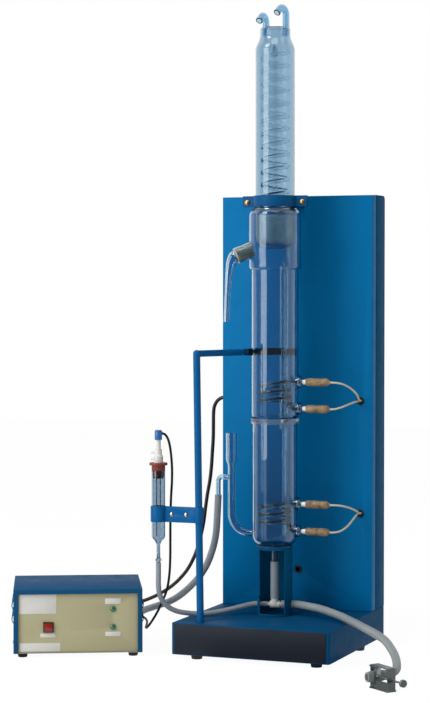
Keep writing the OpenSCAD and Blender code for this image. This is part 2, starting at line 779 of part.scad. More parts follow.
module level_device() {
    wall = 1.5;
    run = column_x - lower_r - 6 - level_x - level_bend_r;
    color([0.78, 0.86, 0.9, 0.4]) translate([level_x, column_y, 0]) {
        difference() {
            level_upright(level_r, level_cup_r, overflow_r, 0);
            level_upright(level_r - wall, level_cup_r - 1.6, overflow_r - 1.3, 1);
        }
        translate([level_bend_r, 0, level_in_z + level_bend_r])
            bent_tube(level_bend_r, level_r, level_r - wall, 180, 270);
        translate([level_bend_r, 0, level_in_z]) rotate([0, 90, 0]) ring_tube(level_r, level_r - wall, run);
        translate([overflow_x - level_x + overflow_bend_r, 0, overflow_z - overflow_bend_r])
            bent_tube(overflow_bend_r, overflow_r, overflow_r - 1.3, 90, 180);
        translate([overflow_x - level_x, 0, overflow_z - overflow_bend_r - 40])
            ring_tube(overflow_r, overflow_r - 1.3, 40);
    }
}

// --- Heaters ---

heater_r = (heater_od - heater_tube_d) / 2;
heater_rise = heater_turns * heater_pitch;

function heater_points(wall_r, low, high) =
    let (start = (low + high) / 2 - heater_rise / 2, reach = wall_r + arm_len + 5) [
        [reach, 0, low], [wall_r + 2, 0, low], [heater_r + 9, -1, low], [heater_r + 3, -3, low + 2],
        [heater_r, -3, (low + start) / 2], [heater_r, -2.5, start - 2.5],
        for (i = [0:heater_turns * 24]) let (a = 15 * i + 6)
            [heater_r * cos(a), heater_r * sin(a), start + heater_pitch * i / 24],
        for (k = [1:5]) let (s = k / 6, a = 186 + 160 * s)
            [(heater_r - 9.5 * sin(180 * s)) * cos(a), (heater_r - 9.5 * sin(180 * s)) * sin(a),
             start + heater_rise + (high - start - heater_rise) * s],
        [heater_r + 2, -3, high], [heater_r + 9, -1, high], [wall_r + 2, 0, high], [reach, 0, high]
    ];

module heater_coils() {
    color([0.85, 0.88, 0.9, 0.5]) on_column() for (h = heater_arms)
        cord(heater_points(h[0], h[1], h[2]), heater_tube_d / 2 - 0.05, 6);
}
echo(str("heater coil least gap ", least_gap(heater_points(lower_r, 221, 271), heater_tube_d, 8)));

module heater_elements() {
    color([0.2, 0.18, 0.16]) on_column() for (h = heater_arms)
        cord(heater_points(h[0], h[1], h[2]), 1.6, 4);
}

module heater_beads() {
    color([0.93, 0.93, 0.9]) for (h = heater_arms, k = [1, 2])
        translate([column_x + h[0] + arm_len + 5, column_y, h[k]]) rotate([0, 90, 0])
            cylinder(r1 = 4.2, r2 = 5, h = sleeve_x - column_x - h[0] - arm_len - 5);
}

module heater_connectors() {
    color([0.67, 0.55, 0.43]) for (h = heater_arms, k = [1, 2])
        translate([sleeve_x, column_y, h[k]]) rotate([0, 90, 0]) difference() {
            union() {
                cylinder(r1 = sleeve_r - 1.2, r2 = sleeve_r, h = 3);
                translate([0, 0, 3]) cylinder(r = sleeve_r, h = sleeve_len - 9);
                translate([0, 0, sleeve_len - 6]) cylinder(r1 = sleeve_r, r2 = 3.4, h = 6);
            }
            translate([0, 0, sleeve_len - 4]) cylinder(d = lead_d + 0.2, h = 10);
        }
}

module heater_leads() {
    color([0.85, 0.82, 0.72]) {
        for (p = upper_leads) cord([[p[0][0] - 4, p[0][1], p[0][2]], each p], lead_d / 2);
        for (p = lower_leads) cord([[p[0][0] - 4, p[0][1], p[0][2]], each p], lead_d / 2);
    }
}

// --- Level sensor ---

module sensor_tube() {
    color([0.8, 0.87, 0.9, 0.4]) translate([sensor_x, sensor_y, 0]) difference() {
        union() {
            rotate_extrude() polygon([
                [0, 176], [3.4, 176], [3.4, 202], each arc(sensor_r - 9, 218, 9, -60, 0, 5), [sensor_r, 336], [0, 336]
            ]);
            translate([0, 0, 170]) cylinder(r1 = 4.2, r2 = 5.8, h = 4);
            translate([0, 0, 174 - eps]) cylinder(r1 = 5.8, r2 = 3.4, h = 4);
            translate([0, 0, 156]) cylinder(r = 3, h = 20);
        }
        rotate_extrude() polygon([
            [0, 204], [1.9, 204], each arc(sensor_r - 9, 218, 7.5, -60, 0, 5), [sensor_r - 1.5, 337], [0, 337]
        ]);
        translate([0, 0, 155]) cylinder(r = 1.9, h = 60);
    }
}

module sensor_stopper() {
    color([0.52, 0.18, 0.15]) translate([sensor_x, sensor_y, 0]) difference() {
        union() {
            translate([0, 0, 322]) cylinder(r1 = 9.5, r2 = sensor_r - 1.6, h = 14);
            translate([0, 0, 336]) cylinder(r = sensor_r - 0.2, h = 10);
            translate([0, 0, 346]) cylinder(r = 16.5, h = 4.6);
        }
        for (sx = [-1, 1]) translate([4 * sx, 0, 320]) cylinder(r = 1.3, h = 40);
    }
}

module sensor_plug() {
    color([0.93, 0.93, 0.91]) translate([sensor_x, sensor_y, 0]) difference() {
        union() {
            translate([0, 0, 350.6]) cylinder(r = 8.6, h = 12);
            translate([0, 0, 362.6]) cylinder(r1 = 8.6, r2 = 6.4, h = 3);
            translate([0, 0, 365.6]) cylinder(r = 6.4, h = 9.4);
            for (z = [357, 369]) translate([0, 0, z]) rotate([0, -90, 0]) cylinder(r1 = 4, r2 = 1.6, h = 14.5);
            translate([0, 0, 375]) cylinder(r = 4.4, h = 17);
        }
        for (sx = [-1, 1]) translate([4 * sx, 0, 349]) cylinder(r = 1.3, h = 12);
    }
}

module sensor_electrodes() {
    color([0.75, 0.75, 0.76]) translate([sensor_x, sensor_y, 0]) for (sx = [-1, 1])
        translate([4 * sx, 0, 236 + 20 * sx]) cylinder(r = 1.25, h = 122 - 20 * sx);
}

module sensor_cap() {
    color([0.1, 0.4, 0.7]) translate([sensor_x, sensor_y, 0]) union() {
        translate([0, 0, 392]) cylinder(r = 6.8, h = 16);
        translate([0, 0, 408 - eps]) cylinder(r1 = 6.8, r2 = 5, h = 2);
        translate([0, 0, 404]) rotate([0, 90, 0]) cylinder(r = 3, h = 7.5);
    }
}

bracket_z = 243.4;
bracket_h = 28.6;
bracket_screw_x = [-158.6, -130.5];
rod_at_bracket = rod_x - (bracket_z + bracket_h / 2 - base_top) * tan(rod_lean);

module sensor_bracket() {
    color([0.0, 0.41, 0.68]) translate([0, rod_y, bracket_z]) difference() {
        union() {
            translate([sensor_x, 0, 0]) cylinder(r = sensor_r + 1.8, h = bracket_h);
            translate([rod_at_bracket, 0, 0]) cylinder(r = rod_d / 2 + 2, h = bracket_h);
            translate([sensor_x + sensor_r, -2.5, 0]) cube([rod_at_bracket - sensor_x - sensor_r - rod_d / 2, 5, bracket_h]);
        }
        translate([sensor_x, 0, -1]) cylinder(r = sensor_r + 0.05, h = bracket_h + 2);
        translate([rod_at_bracket, 0, bracket_h / 2]) rotate([0, -rod_lean, 0])
            cylinder(r = rod_d / 2 + 0.05, h = 2 * bracket_h, center = true);
        translate([sensor_x - 40, -0.5, -1]) cube([140, 1, bracket_h + 2]);
        for (x = bracket_screw_x) translate([x, 0, bracket_h / 2]) rotate([90, 0, 0]) cylinder(r = 2.1, h = 20, center = true);
    }
}

module bracket_screws() {
    color([0.78, 0.76, 0.7]) for (x = bracket_screw_x) translate([x, rod_y - 2.5, bracket_z + bracket_h / 2])
        rotate([90, 0, 0]) {
            pan_screw(2, 3.8, 2, 10);
            translate([0, 0, -8]) hex_nut(2, 7, 3);
        }
}

// --- Hoses and cables ---

module drop_hose() {
    color([0.6, 0.65, 0.68]) on_column() translate([0, 0, 95]) ring_tube(8, 5.5, 163 - 95);
}

module hose_tee() {
    color([0.9, 0.9, 0.88]) on_column() translate([0, 0, tee_z]) rotate([0, 0, tee_turn]) {
        rotate([0, -90, 0]) cylinder(r = 3.2, h = 24);
        rotate([0, 90, 0]) cylinder(r = 4.4, h = 24);
        translate([-9, 0, 0]) rotate([0, 90, 0]) cylinder(r = 6.4, h = 18);
        cylinder(r = 5.4, h = 26);
        translate([0, 0, 0]) cylinder(r = 7, h = 11);
    }
}

module sensor_hose() {
    color([0.6, 0.66, 0.7]) cord(sensor_hose_route, sensor_hose_r, 10);
}

// The drain hose is squeezed flat between the jaws, and opens out over the next 14 mm
function pinch_at(p) = let (
    d = norm(p - [clip_x - 19.5 * cos(clip_turn), clip_y - 19.5 * sin(clip_turn), clip_z]),
    s = min(1, max(0, (24 - d) / 14))) s * s * (3 - 2 * s);

module drain_hose() {
    t = tangents(drain_hose_route);
    n = normals(t);
    side = [cos(clip_turn), sin(clip_turn), 0];
    points = [
        for (i = [0:len(t) - 1]) let (p = drain_hose_route[i], k = pinch_at(p), b = cross(t[i], n[i]))
            each [for (q = ring([0, 0, 0], n[i], b, drain_hose_r, 12))
                let (out = q * side, up = q[2])
                p + q - out * side * k * (1 - (hose_pinch / 2 - 0.1) / drain_hose_r) + [0, 0, up * 0.35 * k]]
    ];
    color([0.55, 0.62, 0.65]) polyhedron(points = points, faces = tube_faces(len(t), 12), convexity = 6);
}

module overflow_hose() {
    color([0.6, 0.66, 0.7]) cord(overflow_hose_route, overflow_hose_r, 10);
}

overflow_coil_points = [
    for (i = [0:overflow_coil_turns * 24]) let (
        a = overflow_coil_from + 15 * i, r = overflow_coil_start_r - overflow_coil_step * i / 24)
        [overflow_coil_x + r * cos(a), overflow_coil_y + r * sin(a), overflow_hose_r + 0.1]
];

module overflow_coil() {
    color([0.6, 0.66, 0.7]) cord(overflow_coil_points, overflow_hose_r, 6);
}
echo(str("overflow coil least gap ", least_gap(overflow_coil_points, 2 * overflow_hose_r, 12)));

module sensor_cable() {
    color([0.06, 0.06, 0.07]) cord(sensor_cable_route, sensor_cable_r);
}

module power_cable() {
    color([0.06, 0.06, 0.07]) cord(power_cable_route, power_cable_r, 10);
}

module gland(r, reach) {
    difference() {
        union() {
            translate([0, 0, -6]) cylinder(r = r + 2.2, h = 6);
            cylinder(r = r + 4.5, h = 3, $fn = 6);
            translate([0, 0, 3 - eps]) cylinder(r1 = r + 2.6, r2 = r + 1, h = reach - 3);
        }
        translate([0, 0, -7]) cylinder(r = r, h = reach + 10);
    }
}

power_gland = [55, 50];
sensor_gland = [90, 40];

module cable_glands() {
    color([0.07, 0.07, 0.08]) {
        translate([-panel_w / 2, 140, 457]) rotate([0, -90, 0]) gland(power_cable_r, 11);
        at_controller() {
            translate([power_gland[0], ctrl_d, power_gland[1]]) rotate([-90, 0, 0]) gland(power_cable_r, 25);
            translate([sensor_gland[0], ctrl_d, sensor_gland[1]]) rotate([-90, 0, 0]) gland(sensor_cable_r, 12);
        }
    }
}

// --- Pinch clip ---

clip_jaw_x = -clip_len / 2 + clip_strip + hose_pinch;

module clip_frame() {
    half = clip_len / 2;
    color([0.45, 0.5, 0.52]) at_clip() difference() {
        union() {
            difference() {
                cube([clip_len, clip_w, clip_h], center = true);
                cube([clip_len - 2 * clip_strip, clip_w + 2, clip_h - 2 * clip_strip], center = true);
            }
            translate([-9, -clip_w / 2, -clip_h / 2]) cube([half + 9, clip_strip, 16]);
            translate([half - eps, 0, 0]) rotate([0, 90, 0]) cylinder(r = 4.5, h = 4);
            for (sx = [-1, 1], sz = [-1, 1]) translate([sx * (half - 1.6), 0, sz * (clip_h / 2 - 1.6)])
                rotate([90, 0, 0]) cylinder(r = 1.6, h = clip_w + 4, center = true);
        }
        translate([half - 5, 0, 0]) rotate([0, 90, 0]) cylinder(r = clip_rod_r + 0.05, h = 12);
    }
}

module clip_jaw() {
    color([0.55, 0.58, 0.6]) at_clip() difference() {
        union() {
            translate([clip_jaw_x, -5.7, -14]) cube([2.5, 11.4, 28]);
            translate([clip_jaw_x + 2, 0, 0]) rotate([0, 90, 0]) cylinder(r = 4, h = 4.5);
        }
        translate([clip_jaw_x + 3, 0, 0]) rotate([0, 90, 0]) cylinder(r = clip_rod_r + 0.05, h = 6);
    }
}

module clip_screw() {
    tip = clip_jaw_x + 3.1;
    knob = clip_len / 2 + 27;
    color([0.5, 0.53, 0.52]) at_clip() {
        translate([tip, 0, 0]) rotate([0, 90, 0]) cylinder(r = clip_rod_r, h = knob - tip + 2);
        translate([knob, 0, 0]) rotate([0, 90, 0]) difference() {
            union() {
                cylinder(r1 = 3.2, r2 = 6.4, h = 3);
                translate([0, 0, 3]) cylinder(r = 6.4, h = 5);
            }
            for (i = [0:17]) rotate([0, 0, 20 * i]) translate([6.9, 0, 2]) cylinder(r = 0.8, h = 7, $fn = 16);
        }
    }
}

// --- Controller ---

module louvre(sx) {
    for (z = [65, 90]) difference() {
        translate([sx * (ctrl_w / 2 - louvre_r + 4), 35, z]) rotate([-90, 0, 0]) cylinder(r = louvre_r, h = 120);
        translate([sx * (ctrl_w / 2 - louvre_r + 4), 34, z]) rotate([-90, 0, 0]) cylinder(r = louvre_r - ctrl_sheet, h = 122);
        translate([sx > 0 ? -200 : -ctrl_w / 2 + ctrl_sheet - eps, 30, z - 20]) cube([200 + ctrl_w / 2 - ctrl_sheet + eps, 130, 40]);
        translate([sx * (ctrl_w / 2 + 10) - 10, 30, z - 20]) cube([20, 130, 12]);
    }
}

module controller_cover() {
    color([0.09, 0.27, 0.45]) at_controller() difference() {
        union() {
            translate([0, ctrl_d / 2, ctrl_foot_h]) rounded_plate(ctrl_w, ctrl_d, 2, ctrl_h);
            for (sx = [-1, 1]) louvre(sx);
        }
        translate([0, ctrl_d / 2 + ctrl_sheet, ctrl_foot_h - 1])
            rounded_plate(ctrl_w - 2 * ctrl_sheet, ctrl_d, 1, ctrl_h + 1 - ctrl_sheet);
        translate([-ctrl_w / 2 + ctrl_frame, -5, ctrl_foot_h - 1]) cube([ctrl_w - 2 * ctrl_frame, 20, ctrl_h - ctrl_frame + 1]);
        for (sx = [-1, 1], z = [65, 90])
            translate([sx * ctrl_w / 2 - 3, 36, z - 10]) cube([6, 118, 8]);
        for (y = [45, 150], sx = [-1, 1])
            translate([sx * ctrl_w / 2 - 3, y, 22]) rotate([0, 90, 0]) cylinder(r = 2.05, h = 6);
    }
}

module controller_chassis() {
    inner = ctrl_w - 2 * ctrl_sheet - 0.4;
    color([0.6, 0.61, 0.6]) at_controller() difference() {
        union() {
            translate([-inner / 2, 2, ctrl_foot_h]) cube([inner, ctrl_d - 2, ctrl_sheet]);
            translate([-inner / 2, ctrl_d - ctrl_sheet, ctrl_foot_h]) cube([inner, ctrl_sheet, ctrl_h - ctrl_sheet - 0.2]);
        }
        translate([power_gland[0], ctrl_d - 5, power_gland[1]]) rotate([-90, 0, 0]) cylinder(r = power_cable_r + 2.2, h = 10);
        translate([sensor_gland[0], ctrl_d - 5, sensor_gland[1]]) rotate([-90, 0, 0]) cylinder(r = sensor_cable_r + 2.2, h = 10);
        translate([-74, ctrl_d - 5, 36]) cube([28, 10, 22]);
        for (p = ctrl_foot_at) translate([p[0], p[1], 5]) cylinder(r = 2, h = 10);
        for (i = [0:4]) translate([-20, ctrl_d - 5, 70 + 8 * i]) cube([40, 10, 3]);
    }
}

module controller_front() {
    color([0.65, 0.63, 0.51]) at_controller() difference() {
        translate([-ctrl_w / 2 + 2, front_y, ctrl_foot_h + ctrl_sheet]) cube([ctrl_w - 4, 2, ctrl_h - 2 * ctrl_sheet - 0.2]);
        translate([button_x - 8.5, 0, button_z - 8.5]) cube([17, 20, 17]);
        for (z = lamps) translate([lamp_x, 0, z]) rotate([-90, 0, 0]) cylinder(r = 4, h = 20);
    }
}

labels = [[-106, 78.6, 67, 36.5], [-106, 10.8, 74, 15], [-68, 36, 27, 7], [49, 95.5, 28, 10], [49, 37, 28, 8]];

module controller_labels() {
    color([0.78, 0.78, 0.76]) at_controller() for (p = labels)
        translate([p[0], front_y - 0.5, p[1]]) cube([p[2], 0.5, p[3]]);
}

ctrl_foot_at = [[-100, 14], [100, 14], [-100, 177], [100, 177]];

module controller_feet() {
    color([0.08, 0.08, 0.09]) at_controller() for (p = ctrl_foot_at) translate([p[0], p[1], 0]) {
        cylinder(r1 = 8, r2 = 9.4, h = ctrl_foot_h);
        cylinder(r = 1.95, h = ctrl_foot_h + ctrl_sheet + 2);
    }
}

module button_bezel() {
    color([0.05, 0.05, 0.06]) at_controller() translate([button_x, front_y, button_z]) difference() {
        union() {
            translate([-9.4, -2, -9.4]) cube([18.8, 2, 18.8]);
            translate([-8.4, 0, -8.4]) cube([16.8, 16, 16.8]);
        }
        translate([-button_w / 2 - 0.3, -3, -button_w / 2 - 0.3]) cube([button_w + 0.6, 17, button_w + 0.6]);
    }
}

module push_button() {
    color([0.75, 0.1, 0.1]) at_controller()
        translate([button_x - button_w / 2, front_y - 5.5, button_z - button_w / 2]) cube([button_w, 15, button_w]);
}

module indicator_lamps() {
    color([0.1, 0.6, 0.25]) at_controller() for (z = lamps) translate([lamp_x, front_y, z]) rotate([90, 0, 0]) {
        cylinder(r = 5.2, h = 1.2);
        intersection() {
            cylinder(r = 4.4, h = 5);
            translate([0, 0, -3]) sphere(6.8);
        }
        translate([0, 0, -18]) cylinder(r = 3.9, h = 19);
    }
}

module mains_inlet() {
    color([0.1, 0.1, 0.11]) at_controller() translate([-60, ctrl_d, 47]) difference() {
        union() {
            translate([-16, 0, -13]) cube([32, 2.5, 26]);
            translate([-13.8, -20, -10.8]) cube([27.6, 20 + eps, 21.6]);
        }
        translate([-11.5, -15, -7.5]) cube([23, 20, 15]);
    }
}

module transformer() {
    color([0.42, 0.36, 0.3]) at_controller() translate([-62, 95, ctrl_foot_h + ctrl_sheet]) {
        translate([-32, -27, 0]) cube([64, 54, 10]);
        translate([-32, -27, 44]) cube([64, 54, 10]);
        for (x = [-32, -6, 20]) translate([x, -27, 10 - eps]) cube([12, 54, 34 + 2 * eps]);
        translate([-18, -33, 12]) cube([36, 66, 30]);
    }
}

module circuit_board() {
    color([0.12, 0.4, 0.22]) at_controller() translate([20, 50, ctrl_foot_h + ctrl_sheet]) {
        for (x = [5, 75], y = [5, 85]) translate([x, y, 0]) cylinder(r = 3, h = 8 + eps);
        translate([0, 0, 8]) cube([80, 90, 1.6]);
        translate([8, 12, 9.6 - eps]) cube([28, 20, 16]);
        translate([44, 12, 9.6 - eps]) cube([28, 20, 16]);
        translate([14, 46, 9.6 - eps]) cube([50, 4, 34]);
        for (i = [0:3]) translate([18 + 14 * i, 72, 9.6 - eps]) cylinder(r = 4.5, h = 14);
    }
}

base_housing();
base_nameplate();
base_bottom_plate();
base_feet();
foot_screws();
back_panel();
rear_cover();
cover_screws();
panel_grommets();
upright_rod();
upright_fixings();
cradle_ring();
clamp_bracket();
clamp_strap();
clamp_screws();
glass_liners();
support_pipe();
lower_boiler();
upper_boiler();
vapour_tube();
condenser_jacket();
condenser_coil();
water_nozzles();
delivery_spout();
level_device();
heater_coils();
heater_elements();
heater_connectors();
heater_beads();
heater_leads();
sensor_tube();
sensor_stopper();
sensor_plug();
sensor_electrodes();
sensor_cap();
sensor_bracket();
bracket_screws();
drop_hose();
hose_tee();
sensor_hose();
drain_hose();
overflow_hose();
overflow_coil();
sensor_cable();
power_cable();
cable_glands();
clip_frame();
clip_jaw();
clip_screw();
controller_cover();
controller_chassis();
controller_front();
controller_labels();
controller_feet();
button_bezel();
push_button();
indicator_lamps();
mains_inlet();
transformer();
circuit_board();
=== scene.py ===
import bpy, bmesh, json, math
from mathutils import Euler, Matrix, Vector


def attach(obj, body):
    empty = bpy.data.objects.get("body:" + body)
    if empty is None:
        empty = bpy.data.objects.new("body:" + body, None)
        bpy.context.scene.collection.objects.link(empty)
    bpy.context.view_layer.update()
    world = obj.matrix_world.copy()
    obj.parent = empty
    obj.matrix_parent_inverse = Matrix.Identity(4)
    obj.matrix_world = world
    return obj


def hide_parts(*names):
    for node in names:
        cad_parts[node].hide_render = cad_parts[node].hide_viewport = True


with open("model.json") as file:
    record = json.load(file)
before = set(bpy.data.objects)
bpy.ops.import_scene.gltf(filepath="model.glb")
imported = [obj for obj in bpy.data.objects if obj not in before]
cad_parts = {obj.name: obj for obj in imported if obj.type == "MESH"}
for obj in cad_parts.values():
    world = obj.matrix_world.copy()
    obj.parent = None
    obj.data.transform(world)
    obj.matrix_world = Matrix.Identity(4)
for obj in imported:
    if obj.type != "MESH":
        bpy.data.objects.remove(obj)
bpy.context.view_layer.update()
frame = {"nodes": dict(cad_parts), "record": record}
nodes = frame["nodes"]
bodyOf = {name: body for body, members in frame["record"]["behaviour"]["bodies"].items() for name in members}
mm = 0.001
stepsPerTurn = 24  # of every wound line
lineStep = 3 * mm  # between the points of the swept tubes' lines
print("frame loaded:", len(nodes), "nodes")


# sRGB hex to a linear colour
def hexColour(code):
    parts = [int(code[i:i + 2], 16) / 255 for i in (1, 3, 5)]
    return tuple(v / 12.92 if v <= 0.04045 else ((v + 0.055) / 1.055) ** 2.4 for v in parts) + (1.0,)


# sets a node's inputs, each to a plain value or to the socket that feeds it
def feed(tree, node, inputs):
    for key, value in inputs.items():
        if isinstance(value, bpy.types.NodeSocket):
            tree.links.new(value, node.inputs[key])
        else:
            node.inputs[key].default_value = value


# adds one node with its settings and its inputs
def addNode(tree, kind, settings={}, inputs={}):
    node = tree.nodes.new(kind)
    for name, value in settings.items():
        setattr(node, name, value)
    feed(tree, node, inputs)
    return node


# a material with its main shader already joined to its output
def startMaterial(name, surface):
    material = bpy.data.materials.new(name)
    material.use_nodes = True
    tree = material.node_tree
    tree.nodes.clear()
    shader = addNode(tree, "ShaderNodeBsdfPrincipled", {}, surface)
    addNode(tree, "ShaderNodeOutputMaterial", {}, {"Surface": shader.outputs[0]})
    return material, tree, shader


def outputOf(tree):
    return next(node for node in tree.nodes if node.bl_idname == "ShaderNodeOutputMaterial")


def linkObject(name, data):
    piece = bpy.data.objects.new(name, data)
    bpy.context.scene.collection.objects.link(piece)
    return piece


# gives a finished piece its material, body and the CAD nodes that it stands for
def handOver(piece, material, *names):
    if not piece.data.materials:
        piece.data.materials.append(material)
    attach(piece, bodyOf[names[0]])
    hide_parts(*names)
    return piece


# what every copy shares: `sharp` and `flat` are angles in degrees, `weld` and `onPlane` are metres
finishSpec = {"weld": 2e-6, "flat": 0.5, "sharp": 35, "segments": 2, "onPlane": 1e-7}


# a merged, smooth-shaded copy of a CAD node, with its hard edges rounded by `edge` millimetres; `ground`
# gives a second material, the test for its faces, and the heights where the faces are cut for it
def finishedCopy(name, node, material, edge=0.0, ground=None):
    sharp = math.radians(finishSpec["sharp"])
    bm = bmesh.new()
    bm.from_mesh(nodes[node].data)
    bmesh.ops.remove_doubles(bm, verts=bm.verts, dist=finishSpec["weld"])
    if edge:
        bmesh.ops.dissolve_limit(bm, angle_limit=math.radians(finishSpec["flat"]),
                                 verts=bm.verts, edges=bm.edges)
        hard = [e for e in bm.edges if len(e.link_faces) == 2 and e.calc_face_angle(0) > sharp]
        bmesh.ops.bevel(bm, geom=hard, offset=edge * mm, offset_type="OFFSET", profile=0.5, affect="EDGES",
                        segments=finishSpec["segments"], clamp_overlap=False)
        bmesh.ops.triangulate(bm, faces=bm.faces)
    for height in (ground["cuts"] if ground else ()):
        bmesh.ops.bisect_plane(bm, geom=bm.verts[:] + bm.edges[:] + bm.faces[:], dist=finishSpec["onPlane"],
                               plane_co=(0, 0, height * mm), plane_no=(0, 0, 1))
    bm.verts.index_update()
    mesh = bpy.data.meshes.new(name)
    mesh.from_pydata([v.co[:] for v in bm.verts], [], [[v.index for v in f.verts] for f in bm.faces])
    bm.free()
    mesh.shade_smooth()
    mesh.set_sharp_from_angle(angle=sharp)
    mesh.materials.append(material)
    if ground:
        mesh.materials.append(ground["material"])
        for face in mesh.polygons:
            face.material_index = int(ground["where"](face.center))
    return handOver(linkObject(name, mesh), material, node)


# points of a Catmull-Rom curve through the route's millimetre points, about `step` metres apart
def smoothRoute(route, step):
    p = [Vector(q) * mm for q in route]
    p = [2 * p[0] - p[1]] + p + [2 * p[-1] - p[-2]]
    out = [p[1]]
    for i in range(1, len(p) - 2):
        a, b, c, d = p[i - 1:i + 3]
        count = max(1, round((c - b).length / step))
        for k in range(1, count + 1):
            t = k / count
            out.append(0.5 * (2 * b + (c - a) * t + (2 * a - 5 * b + 4 * c - d) * t ** 2
                              + (3 * b - a - 3 * c + d) * t ** 3))
    return out


def routeLength(path):
    return sum((b - a).length for a, b in zip(path, path[1:]))


# rings of a tube that turn as little as they can along the path
def tubeFrames(path):
    frames, normal = [], None
    for i, point in enumerate(path):
        along = (path[min(i + 1, len(path) - 1)] - path[max(i - 1, 0)]).normalized()
        if normal is None:
            normal = along.orthogonal().normalized()
        normal = (normal - along * normal.dot(along)).normalized()
        frames.append((point, normal, along.cross(normal)))
    return frames


tubeSharp = math.radians(50)  # a tube's cut ends stay crisp


# a tube with a UV map that counts turns round it and metres along it; `wall` makes it hollow,
# and `bend` moves each point of a ring
def tubeMesh(name, path, radii, sides, wall=None, bend=None):
    frames = tubeFrames(path)
    walls = [radii] if wall is None else [radii, [r - wall for r in radii]]
    verts, faces, along = [], [], [0.0]
    for a, b in zip(path, path[1:]):
        along.append(along[-1] + (b - a).length)
    for skin in walls:
        for (point, n, b), r in zip(frames, skin):
            for k in range(sides):
                angle = 2 * math.pi * k / sides
                offset = r * (math.cos(angle) * n + math.sin(angle) * b)
                verts.append(point + (bend(point, offset) if bend else offset))
    rings = len(path)
    for w in range(len(walls)):
        base = w * rings * sides
        for i in range(rings - 1):
            for k in range(sides):
                a, c = base + i * sides + k, base + i * sides + (k + 1) % sides
                faces.append((a, c, c + sides, a + sides) if w == 0 else (a, a + sides, c + sides, c))
    if wall is None:
        faces.append(tuple(range(sides - 1, -1, -1)))
        faces.append(tuple((rings - 1) * sides + k for k in range(sides)))
    else:
        inner, last = rings * sides, (rings - 1) * sides
        for k in range(sides):
            j = (k + 1) % sides
            faces.append((j, k, inner + k, inner + j))
            faces.append((last + k, last + j, inner + last + j, inner + last + k))
    mesh = bpy.data.meshes.new(name)
    mesh.from_pydata([v[:] for v in verts], [], faces)
    uv = mesh.uv_layers.new(name="alongTube")
    for face in mesh.polygons:
        ks = [v % sides for v in face.vertices]
        wraps = 0 in ks and sides - 1 in ks
        for loop, v in zip(face.loop_indices, face.vertices):
            k = v % sides
            uv.data[loop].uv = ((sides if wraps and k == 0 else k) / sides, along[(v // sides) % rings])
    mesh.shade_smooth()
    mesh.set_sharp_from_angle(angle=tubeSharp)
    return mesh


# where the camera stands, in metres, its turns in degrees and its lens in millimetres
view = {"place": (1.2920, -3.6071, 0.6661), "pitch": -1.733, "turn": 21.515, "lens": 106.65, "clipEnd": 60}
camera = linkObject("camera", bpy.data.cameras.new("camera"))
camera.location = view["place"]
camera.rotation_euler = Euler((math.radians(90 + view["pitch"]), 0, math.radians(view["turn"])))
camera.data.lens = view["lens"]
camera.data.clip_end = view["clipEnd"]
bpy.context.scene.camera = camera
print("camera placed")


# Powder-coated sheet steel: satin, faintly uneven in tone, with a fine orange peel.
# The real peel is about 1 mm across; it is drawn at 4 mm so that it shows in the picture.
def coatedSteel(name, colour, shade, roughness, shine=0.22, peel=4.0):
    material, tree, shader = startMaterial(name, {"IOR": 1.5, "Specular IOR Level": shine})
    place = addNode(tree, "ShaderNodeTexCoord")
    clouds = addNode(tree, "ShaderNodeTexNoise", {},
                     {"Vector": place.outputs["Object"], "Scale": 1 / (120 * mm), "Detail": 4.0,
                      "Roughness": 0.6})
    tone = addNode(tree, "ShaderNodeMix", {"data_type": "RGBA"},
                   {0: clouds.outputs["Fac"], 6: hexColour(colour), 7: hexColour(shade)})
    scuffs = addNode(tree, "ShaderNodeTexNoise", {},
                     {"Vector": place.outputs["Object"], "Scale": 1 / (30 * mm), "Detail": 6.0,
                      "Roughness": 0.7})
    sheen = addNode(tree, "ShaderNodeMapRange", {},
                    {"Value": scuffs.outputs["Fac"], "From Min": 0.3, "From Max": 0.75,
                     "To Min": roughness - 0.05, "To Max": roughness + 0.1})
    skin = addNode(tree, "ShaderNodeTexNoise", {},
                   {"Vector": place.outputs["Object"], "Scale": 1 / (peel * mm), "Detail": 1.0})
    bump = addNode(tree, "ShaderNodeBump", {},
                   {"Height": skin.outputs["Fac"], "Strength": 0.35, "Distance": 0.06 * mm})
    feed(tree, shader,
         {"Base Color": tone.outputs[2], "Roughness": sheen.outputs[0], "Normal": bump.outputs[0]})
    return material


# Moulded plastic or rubber: one colour with a slight cloud in it and a soft grain
def mouldedSkin(name, colour, roughness, grain=1.5, depth=0.04, cloud=0.12, coat=0.0):
    material, tree, shader = startMaterial(name, {"IOR": 1.5, "Coat Weight": coat, "Coat Roughness": 0.08})
    place = addNode(tree, "ShaderNodeTexCoord")
    clouds = addNode(tree, "ShaderNodeTexNoise", {},
                     {"Vector": place.outputs["Object"], "Scale": 1 / (20 * mm), "Detail": 3.0})
    base = hexColour(colour)
    deep = tuple(v * (1 - cloud) for v in base[:3]) + (1.0,)
    tone = addNode(tree, "ShaderNodeMix", {"data_type": "RGBA"},
                   {0: clouds.outputs["Fac"], 6: base, 7: deep})
    rough = addNode(tree, "ShaderNodeMapRange", {},
                    {"Value": clouds.outputs["Fac"], "To Min": roughness - 0.06,
                     "To Max": roughness + 0.06})
    skin = addNode(tree, "ShaderNodeTexNoise", {},
                   {"Vector": place.outputs["Object"], "Scale": 1 / (grain * mm), "Detail": 2.0})
    bump = addNode(tree, "ShaderNodeBump", {},
                   {"Height": skin.outputs["Fac"], "Strength": 0.4, "Distance": depth * mm})
    feed(tree, shader,
         {"Base Color": tone.outputs[2], "Roughness": rough.outputs[0], "Normal": bump.outputs[0]})
    return material


